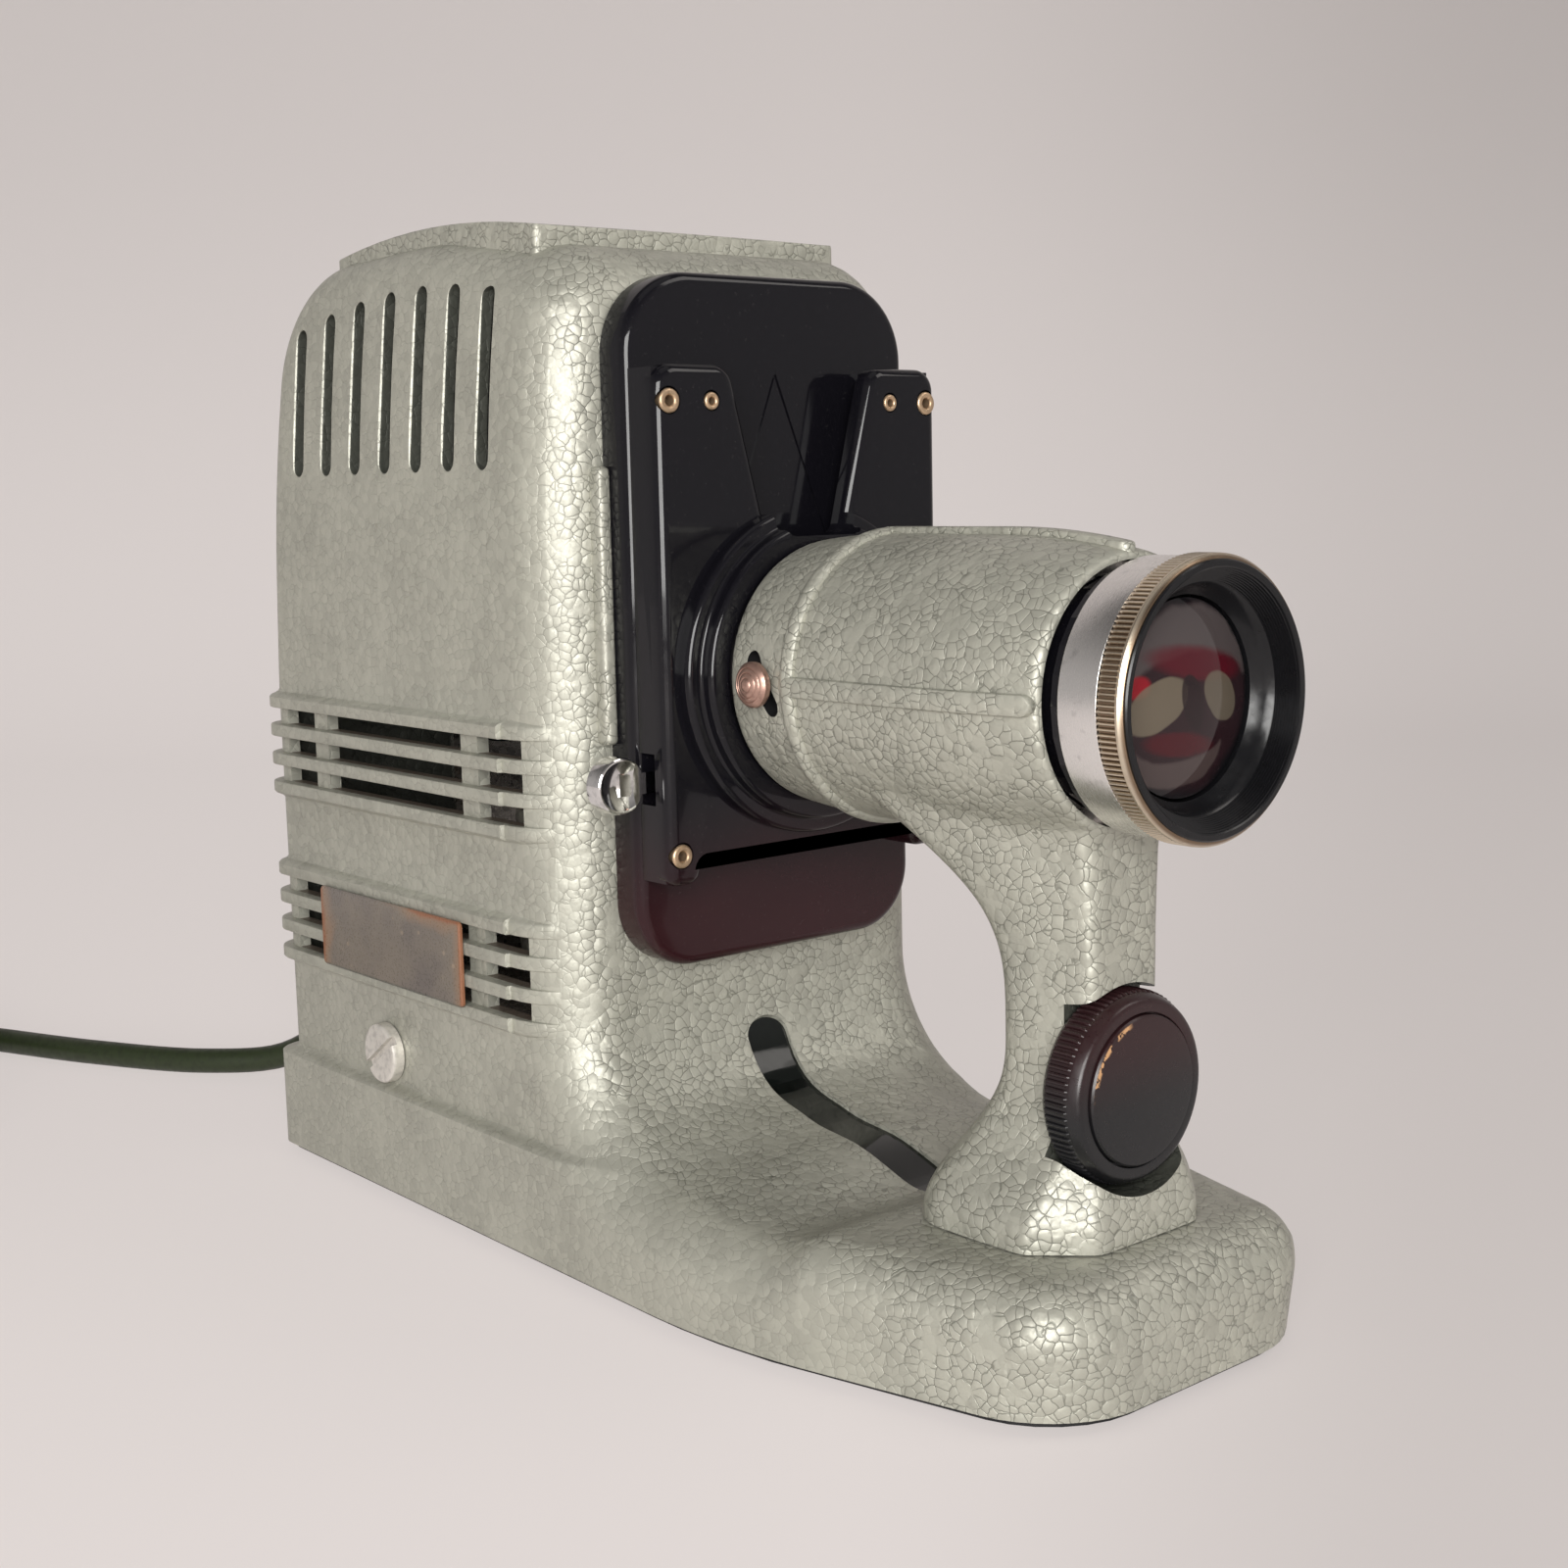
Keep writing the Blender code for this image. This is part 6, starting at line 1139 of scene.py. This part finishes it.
def stageFront():
    h = stage["half"]
    tab, low, top, notchLow = 86.3, 90.5, 196.8, 160.3
    corners = [(-h, tab, 3.2), (-h + 9.0, tab, 3.2), (-h + 9.0, low, 1.4), (h - 9.0, low, 1.4), (h - 9.0, tab, 3.2),
               (h, tab, 3.2), (h, top, 5.0), (20.0, top, 5.0), (10.5, notchLow, 3.0), (-10.5, notchLow, 3.0),
               (-20.0, top, 5.0), (-h, top, 5.0)]
    plan = roundedLoop(corners, 9.0)
    piece = put("stage_front_plate", pillow(plan, stage["frontFace"], stage["frontBack"], stage["edge"]), "bakelite")
    out, high = h - 0.6, top - 0.6
    tabIn, mid, ledge, rest = h - 8.4, low + 0.6, 96.2, 104.4
    walls = [(-out, tab + 0.6), (-tabIn, tab + 0.6), (-tabIn, mid), (tabIn, mid), (tabIn, tab + 0.6), (out, tab + 0.6),
             (out, high), (26.2, high), (26.2, rest), (14.0, rest), (14.0, ledge), (-26.2, ledge), (-26.2, high),
             (-out, high)]
    carve(piece, prism(walls, "y", -8.4, -0.3), "UNION")
    collar = softProfile([(21.5, -8.9, 0.0), (36.3, -8.9, 0.0), (36.3, -14.0, 1.4), (32.8, -14.0, 0.9), (32.8, -17.4, 1.2),
                          (28.2, -17.4, 0.8), (21.5, -14.0, 0.0)])
    ring = put("collar", lathe(collar, "y", (0.0, 130.6), 128), "bakelite")
    slope = (20.0 - 10.5) / (top - notchLow)
    notch = roundedLoop([(-10.6, notchLow - 0.1, 3.0), (10.6, notchLow - 0.1, 3.0),
                         (10.6 + slope * 38.6, top + 2.0, 0.01), (-10.6 - slope * 38.6, top + 2.0, 0.01)], 9.0)
    carve(ring, prism(notch, "y", -25.0, 5.0))
    cuts = [block((-42.2, -34.0), (-5.9, 2.0), (103.6, 114.8)),
            prism(circlePoints((-30.6, 102.6), 1.5, 24), "y", -8.4, -3.9)]
    for x, z, radius in eyeletSpots:
        cuts.append(prism(circlePoints((x, z + 0.1), radius + 0.33, 32, 0.03), "y", -12.9, -7.93))
    carve(piece, merge(*cuts))
    carve(piece, block((-36.4, -24.2), (-6.7, 2.0), (95.9, 114.5)))
    carve(piece, ring, "UNION")
    carve(piece, prism(circlePoints((0.0, 130.6), 23.5, 128), "y", -25.0, 5.0))
    return fit(piece, "base", "bakelite", "stage_front_plate")


eyeletSpots = [(-36.9, 189.1, 2.6), (36.9, 189.1, 2.6), (-36.9, 93.0, 2.6), (36.9, 93.0, 2.6),
               (-25.7, 189.1, 1.9), (25.7, 189.1, 1.9)]


def eyelets():
    names = ["eyelet_top_left", "eyelet_top_right", "eyelet_low_left", "eyelet_low_right",
             "eyelet_small_left", "eyelet_small_right"]
    for name, (x, z, radius) in zip(names, eyeletSpots):
        bore, stem = radius * 0.44, radius * 0.7
        ring = [(bore, -8.0), (bore, -10.7)]
        for step in range(9):
            turn = math.pi * step / 8
            middle = (bore + radius) / 2
            ring.append((middle - (radius - bore) / 2 * math.cos(turn), -10.8 - 0.5 * math.sin(turn)))
        ring += [(radius, -10.7), (stem, -10.2), (stem, -8.0)]
        fit(put(name, lathe(ring, "y", (x, z), 40), "brass"), "base", "brass", name)


stageRear()
stageFront()
eyelets()
say("stage")


# lens

def lensPieces():
    axis = (0.0, 130.6)
    band = softProfile([(24.6, -109.0, 0.0), (26.3, -109.0, 0.3), (26.3, -118.2, 0.15), (24.6, -118.2, 0.0)])
    fit(put("scale_ring", lathe(band, "y", axis, 160), "silver"), "lens", "bright", "scale_ring")

    core = softProfile([(24.6, -118.5, 0.0), (26.2, -118.5, 0.2), (26.2, -122.9, 0.05), (26.85, -123.0, 0.1),
                        (26.85, -123.5, 0.15), (26.1, -124.3, 0.1), (24.6, -124.3, 0.0)])
    tooth = prism([(-0.34, 26.1), (-0.27, 26.66), (-0.12, 26.88), (0.12, 26.88), (0.27, 26.66), (0.34, 26.1)], "y", -123.0, -118.8)
    teeth = moved(repeat(tooth, "champagne", 160, turn=(0.0, 2 * math.pi / 160, 0.0)), z=130.6)
    ring = put("knurled_ring", merge(lathe(core, "y", axis, 160), teeth), "champagne")
    fit(ring, "lens", "champagne", "knurled_ring")

    hood = [(19.2, -111.7), (24.3, -111.7), (24.3, -124.3), (25.7, -124.3), (25.8, -124.5),
            (25.5, -124.8), (24.5, -124.8), (24.2, -124.6)]
    for step in range(9):
        radius = 24.15 - 0.27 * step
        y = -124.4 + 0.42 * step
        hood += [(radius, y), (radius, y + 0.16), (radius - 0.34, y + 0.2), (radius - 0.34, y + 0.36)]
    hood += [(21.1, -120.2), (20.6, -119.0), (19.6, -117.4), (19.2, -116.8)]
    fit(put("front_hood", lathe(hood, "y", axis, 160), "black"), "lens", "matt_black", "front_hood")


def lensGlass():
    # painted reflections of the inner lenses, drawn into the glass's colour: leaf shapes, dark red reflections from
    # their coatings, a painted grey glare above
    made = Finish("lens_glass_painted_reflections", Roughness=0.03, Specular_IOR_Level=0.35)
    here = made.place()
    x, y, z = made.split(here)
    z = z - 133.4
    warp = (made.noise(here, 0.12, 2.0) - 0.5) * 0.5

    def leaf(midX, midZ, wide, tall, lean, soft=0.12):
        turn = math.radians(lean)
        across = ((x - midX) * math.cos(turn) + (z - midZ) * math.sin(turn)) / wide
        along = ((z - midZ) * math.cos(turn) - (x - midX) * math.sin(turn)) / tall
        return 1.0 - made.ease(across * across + along * along + warp, 1.0 - soft, 1.0 + soft)

    tone = made.blend(leaf(0.0, 0.0, 17.6, 17.6, 0.0, 0.2), (0.004, 0.004, 0.005), (0.016, 0.007, 0.009))
    tone = made.blend((leaf(1.0, 4.0, 16.5, 13.4, 0.0) - leaf(1.0, -0.5, 17.5, 9.5, 0.0)) * 0.9, tone, (0.060, 0.050, 0.050))
    tone = made.blend(leaf(2.0, 6.5, 13.0, 3.2, -8.0, 0.5) * 0.85, tone, (0.062, 0.004, 0.009))
    tone = made.blend(leaf(-14.0, 3.0, 3.0, 2.0, 10.0, 0.5) * 0.9, tone, (0.20, 0.006, 0.012))
    tone = made.blend(leaf(-9.0, -0.6, 8.2, 4.4, 24.0) * 0.85, tone, (0.112, 0.092, 0.066))
    tone = made.blend(leaf(8.5, 0.2, 6.0, 4.2, -38.0) * 0.8, tone, (0.098, 0.082, 0.060))
    tone = made.blend(leaf(0.0, -0.5, 3.0, 5.5, 20.0) * 0.9, tone, (0.012, 0.006, 0.007))
    tone = made.blend(leaf(-3.0, -8.2, 9.0, 2.3, -6.0, 0.5) * 0.8, tone, (0.050, 0.004, 0.007))
    tone = made.blend((leaf(-3.0, -9.5, 12.5, 7.0, 0.0) - leaf(-3.0, -5.0, 14.0, 6.5, 0.0)) * 0.8, tone, (0.060, 0.044, 0.042))
    return made.set(Base_Color=tone)


looks["glass"] = lensGlass()


def glassPieces():
    profile = []
    for step in range(13):
        share = step / 12
        profile.append((18.6 * share, -116.2 - 2.6 * (1 - share * share)))
    for step in range(12, -1, -1):
        share = step / 12
        profile.append((18.6 * share, -110.2 + 1.3 * (1 - share * share)))
    fit(put("front_glass", lathe(profile, "y", (0.0, 130.6), 96), "glass"), "lens", "glass", "front_glass")


lensPieces()
glassPieces()
say("lens")


# knob

knob = {"z": 54.0, "radius": 19.3, "front": -106.6, "rear": -97.0, "cap": 14.9, "flutes": 84}


def knobPieces():
    axis = (0.0, knob["z"])
    core = softProfile([(3.3, -97.0, 0.0), (17.6, -97.0, 0.8), (18.75, -98.6, 0.8), (18.75, -104.4, 0.6),
                        (17.7, -106.6, 1.3), (15.2, -106.6, 0.2), (15.2, -105.0, 0.0), (3.3, -105.0, 0.0)])
    wide = 2 * math.pi * 18.7 / knob["flutes"] * 0.32
    flute = skin([[(-wide, y, out - 0.3), (-wide, y, out + rise * 0.15), (-wide * 0.6, y, out + rise * 0.8), (0.0, y, out + rise),
                   (wide * 0.6, y, out + rise * 0.8), (wide, y, out + rise * 0.15), (wide, y, out - 0.3)]
                  for y, out, rise in ((-98.2, 18.2, 0.1), (-98.8, 18.65, 0.5), (-99.6, 18.7, 0.6), (-102.8, 18.7, 0.6),
                                       (-103.8, 18.65, 0.5), (-104.6, 18.3, 0.05))])
    flutes = moved(repeat(flute, "knob", knob["flutes"], turn=(0.0, 2 * math.pi / knob["flutes"], 0.0)), z=knob["z"])
    fit(put("tilt_knob", merge(lathe(core, "y", axis, 128), flutes), "knob"), "knob", "bakelite", "tilt_knob")
    cap = [(0.0, -107.4), (13.6, -107.4), (14.5, -107.3), (14.85, -106.9), (14.9, -106.4), (14.9, -105.3), (0.0, -105.3)]
    fit(put("knob_cap", lathe(cap, "y", axis, 128), "knob"), "knob", "bakelite", "knob_cap")


knobPieces()
say("knob")


# focusing pin

def focusPin():
    out = 30.2 + 0.33
    profile = [(0.0, -23.6), (1.5, -23.6), (1.5, -out), (4.3, -out - 0.3), (4.75, -out - 0.7), (4.8, -out - 1.2),
               (4.75, -out - 1.9), (4.3, -out - 2.5), (3.75, -out - 2.75), (3.6, -out - 2.62), (3.4, -out - 2.85),
               (2.75, -out - 3.1), (2.6, -out - 2.98), (2.4, -out - 3.2), (1.7, -out - 3.45), (1.5, -out - 3.35),
               (1.3, -out - 3.6), (0.6, -out - 3.9), (0.0, -out - 3.95)]
    fit(put("focus_pin", lathe(profile, "x", (-30.0, 130.6), 64), "copper"), "focus_pin", "copper", "focus_pin")


focusPin()


# eject lever

def ejectLever():
    arm = roundedLoop([(-48.3, 106.5, 0.0), (-37.0, 106.5, 1.0), (-33.8, 101.1, 0.6), (-30.6, 99.4, 1.5), (-27.4, 101.1, 0.6),
                       (8.0, 102.6, 0.6), (8.0, 104.1, 0.6), (-27.4, 104.1, 0.6), (-29.1, 105.8, 0.6), (-37.0, 111.1, 1.0),
                       (-48.3, 111.1, 0.0)], 22.5)
    piece = put("eject_lever", prism(arm, "y", -4.7, -1.7), "chrome")
    pad = []
    for share in (0.0, 0.25, 0.5, 0.7, 0.85, 0.95, 1.0):
        pad.append((5.2 * share, -5.5 + 1.4 * (1 - share ** 2)))
    pad += [(5.45, -5.65), (5.75, -5.7), (6.05, -5.5), (6.2, -5.1), (6.2, -1.3), (5.9, -0.95), (5.5, -0.9), (0.0, -0.9)]
    carve(piece, lathe(pad, "y", (-48.3, 108.8), 64), "UNION")
    carve(piece, block((-44.9, -41.0), (-8.0, -4.75), (100.0, 118.0)))
    carve(piece, block((-44.9, -41.0), (-1.65, 2.0), (100.0, 118.0)))
    carve(piece, prism(circlePoints((-30.6, 102.6), 1.5, 24), "y", -7.0, 0.0))
    fit(piece, "eject_lever", "bright", "eject_lever")


ejectLever()


# fastenings and trim

def coinScrews():
    for name, side in (("coin_screw_left", -1), ("coin_screw_right", 1)):
        seat = castingHalf(87.4, 34.4) + 0.3
        profile = [(0.0, side * (seat + 3.0)), (6.5, side * (seat + 3.0)), (7.0, side * (seat + 2.88)),
                   (7.3, side * (seat + 2.6)), (7.4, side * (seat + 2.2)), (7.4, side * seat), (3.0, side * seat),
                   (3.0, side * (seat - 8.0)), (0.0, side * (seat - 8.0))]
        screw = put(name, lathe(profile, "x", (87.4, 34.4), 64), "coin")
        turn = math.radians(35.0)
        blade = []
        for a, b in ((-9.4, -1.1), (9.4, -1.1), (9.4, 1.1), (-9.4, 1.1)):
            blade.append((87.4 - a * math.cos(turn) + b * math.sin(turn), 34.4 + a * math.sin(turn) + b * math.cos(turn)))
        carve(screw, prism(blade, "x", *sorted((side * (seat + 1.5), side * (seat + 5.0)))), sharp=8.0)
        fit(screw, "base", "steel", name)


def windowFinish():
    made = Finish("celluloid", Specular_IOR_Level=0.45, Coat_Weight=0.2, Coat_Roughness=0.15)
    here = made.place()
    x, y, z = made.split(here)
    wander = (made.noise(here, 0.10, 4.0) - 0.5) * 7.0
    low, high = 45.9 + seatY, 112.7 + seatY
    floor, top = 53.3 + liftZ, 73.5 + liftZ
    ends = (y - low).math("MINIMUM", (high - y) * 0.55)
    side = (top - z) + made.ease(y, 52.0, 78.0) * 4.0
    edge = ends.math("MINIMUM", side)
    stain = 1.0 - made.ease(edge + wander, 0.6, 4.2)
    rim = 1.0 - made.ease(edge + wander * 0.3, 0.2, 1.3)
    sill = 1.0 - made.ease(z, floor, floor + 0.9)
    grain = made.noise(here, 2.0, 4.0)
    cloud = made.noise(here, 0.06, 3.0)
    tone = made.blend(made.ease(cloud, 0.35, 0.65), (0.170, 0.145, 0.120), (0.125, 0.108, 0.098))
    tone = made.blend(made.ease(grain, 0.4, 0.75) * 0.25, tone, (0.24, 0.21, 0.18))
    tone = made.blend(stain * 0.6, tone, (0.27, 0.165, 0.10))
    tone = made.blend(rim * 0.75, tone, (0.24, 0.085, 0.035))
    speck = made.ease(made.cells(here, 0.22), 0.16, 0.10) * made.ease(edge, 1.5, 3.0) * (1.0 - made.ease(edge, 7.0, 9.0))
    tone = made.blend(speck * 0.5, tone, (0.42, 0.33, 0.24))
    tone = made.blend(sill * 0.85, tone, (0.035, 0.045, 0.035))
    return made.set(Base_Color=tone, Roughness=made.ease(grain, 0.3, 0.7, 0.24, 0.40))


looks["window"] = windowFinish()


def labelWindow():
    plan = roundedLoop([(45.9, 53.3, 1.3), (112.7, 53.3, 1.3), (112.7, 73.5, 1.3), (45.9, 73.5, 1.3)], 22.5)
    inner = offsetLoop(plan, 0.35)
    rings = [[(-57.9, p.x, p.y) for p in plan], [(-58.5, p.x, p.y) for p in plan], [(-58.8, p.x, p.y) for p in inner]]
    fit(put("label_window", skin(rings), "window"), "base", "celluloid", "label_window")


coinScrews()
labelWindow()
say("trim")


# cad pieces that stay, with a finish for each slot

slotLooks = {"paint": "paint", "bakelite": "bakelite", "matt_black": "matt", "steel": "steel", "bright": "chrome",
             "mirror": "mirror", "brass": "brass", "copper": "copper", "champagne": "champagne", "rubber": "rubber",
             "glass": "glass", "cord": "cord", "celluloid": "window", "ceramic": "ceramic"}
for item in nodes.values():
    for holder in item.material_slots:
        if holder.material:
            key = holder.material.name.split(".")[0]
            if key not in slotLooks:
                print("no finish for", key)
            holder.material = looks[slotLooks.get(key, "matt")]

say("finishes")


# floor, backdrop and light

surround = {"pale": (0.790, 0.732, 0.712), "floor": 3.0, "share": 0.68, "top": 0.25, "right": 0.25, "low": 0.03}


def backdropFinish():
    material = bpy.data.materials.new("backdrop")
    material.use_nodes = True
    tree = material.node_tree
    tree.nodes.clear()
    add, link = tree.nodes.new, tree.links.new
    out, mix, glow, matte, path = (add("ShaderNodeOutputMaterial"), add("ShaderNodeMixShader"), add("ShaderNodeEmission"),
                                   add("ShaderNodeBsdfDiffuse"), add("ShaderNodeLightPath"))
    # painted light fall-off on the backdrop's glow: paler in the middle and low, darker to the right and high up
    def measure(way, start=0.0):
        node = add("ShaderNodeVectorMath")
        node.operation = "DOT_PRODUCT"
        node.inputs[1].default_value = way
        link(here.outputs["Object"], node.inputs[0])
        return Wire(tree, node.outputs["Value"]) + start

    def fade(value, low, high, amount):
        node = add("ShaderNodeMapRange")
        node.interpolation_type = "SMOOTHSTEP"
        link(value.socket, node.inputs[0])
        for index, number in enumerate((low, high, 0.0, amount)):
            node.inputs[index + 1].default_value = number
        return Wire(tree, node.outputs[0])

    here = add("ShaderNodeTexCoord")
    ahead = Vector((camera["forward"][0], camera["forward"][1], 0.0)).normalized()
    depth = measure(ahead, 0.478).math("MAXIMUM", 0.2)
    across = measure((ahead.y, -ahead.x, 0.0)) / depth
    high = (measure((0.0, 0.0, 1.0), -0.174) + depth * 0.142) / depth
    strength = 1.0 - fade(high, 0.05, 0.40, surround["top"]) - fade(across, 0.02, 0.38, surround["right"])
    strength = strength + fade(high * -1.0, 0.18, 0.38, surround["low"])
    link(strength.socket, glow.inputs["Strength"])
    glow.inputs["Color"].default_value = (*surround["pale"], 1.0)
    matte.inputs["Color"].default_value = (*surround["pale"], 1.0)
    seen = Wire(tree, path.outputs["Is Camera Ray"]) + Wire(tree, path.outputs["Is Glossy Ray"])
    seen = (seen + Wire(tree, path.outputs["Is Transmission Ray"])).math("MINIMUM", 1.0) * surround["share"]
    link(seen.socket, mix.inputs[0])
    link(matte.outputs[0], mix.inputs[1])
    link(glow.outputs[0], mix.inputs[2])
    link(mix.outputs[0], out.inputs[0])
    return material


def surroundings():
    size = surround["floor"]
    shape = bmesh.new()
    rows = []
    path = [(-size, 0.0), (0.9, 0.0)]
    for step in range(1, 13):
        turn = math.pi / 2 * step / 12
        path.append((0.9 + 0.6 * math.sin(turn), 0.6 * (1 - math.cos(turn))))
    path.append((1.5, 3.0))
    way = Vector(camera["forward"]).to_2d().normalized()
    side = Vector((way.y, -way.x))
    for along, high in path:
        for across in (-size, size):
            spot = way * along + side * across
            rows.append(shape.verts.new((spot.x, spot.y, high)))
    for index in range(0, len(rows) - 2, 2):
        shape.faces.new((rows[index], rows[index + 1], rows[index + 3], rows[index + 2]))
    mesh = bpy.data.meshes.new("floor")
    shape.to_mesh(mesh)
    shape.free()
    mesh.materials.append(backdropFinish())
    mesh.shade_smooth()
    floor = bpy.data.objects.new("floor", mesh)
    scene.collection.objects.link(floor)
    world = bpy.data.worlds.new("world")
    world.use_nodes = True
    tree = world.node_tree
    here, cut, high = (tree.nodes.new(kind) for kind in ("ShaderNodeTexCoord", "ShaderNodeSeparateXYZ", "ShaderNodeMapRange"))
    high.interpolation_type = "SMOOTHSTEP"
    tree.links.new(here.outputs["Generated"], cut.inputs[0])
    tree.links.new(cut.outputs[2], high.inputs[0])
    for index, value in enumerate((0.1, 0.95, 0.52, 0.10)):
        high.inputs[index + 1].default_value = value
    tree.links.new(high.outputs[0], tree.nodes["Background"].inputs["Strength"])
    tree.nodes["Background"].inputs["Color"].default_value = (0.80, 0.76, 0.74, 1.0)
    scene.world = world


def lamp(name, place, aim, size, power, tint=(1.0, 0.97, 0.94)):
    light = bpy.data.lights.new(name, "AREA")
    light.shape = "RECTANGLE"
    light.size, light.size_y = size
    light.energy = power
    light.color = tint
    made = bpy.data.objects.new(name, light)
    scene.collection.objects.link(made)
    way = Vector(aim) - Vector(place)
    made.location = place
    made.rotation_euler = way.to_track_quat("-Z", "Y").to_euler()


surroundings()
lamp("key", (-1.02, -1.10, 0.44), (0.0, 0.0, 0.11), (0.95, 0.75), 29.0, (1.0, 0.99, 0.97))
lamp("top", (0.0, -0.3, 1.5), (0.0, 0.0, 0.0), (1.0, 1.0), 0.9)
lamp("right", (0.8, -0.9, 1.25), (0.0, 0.0, 0.1), (0.7, 0.7), 4.2, (1.0, 0.95, 0.90))
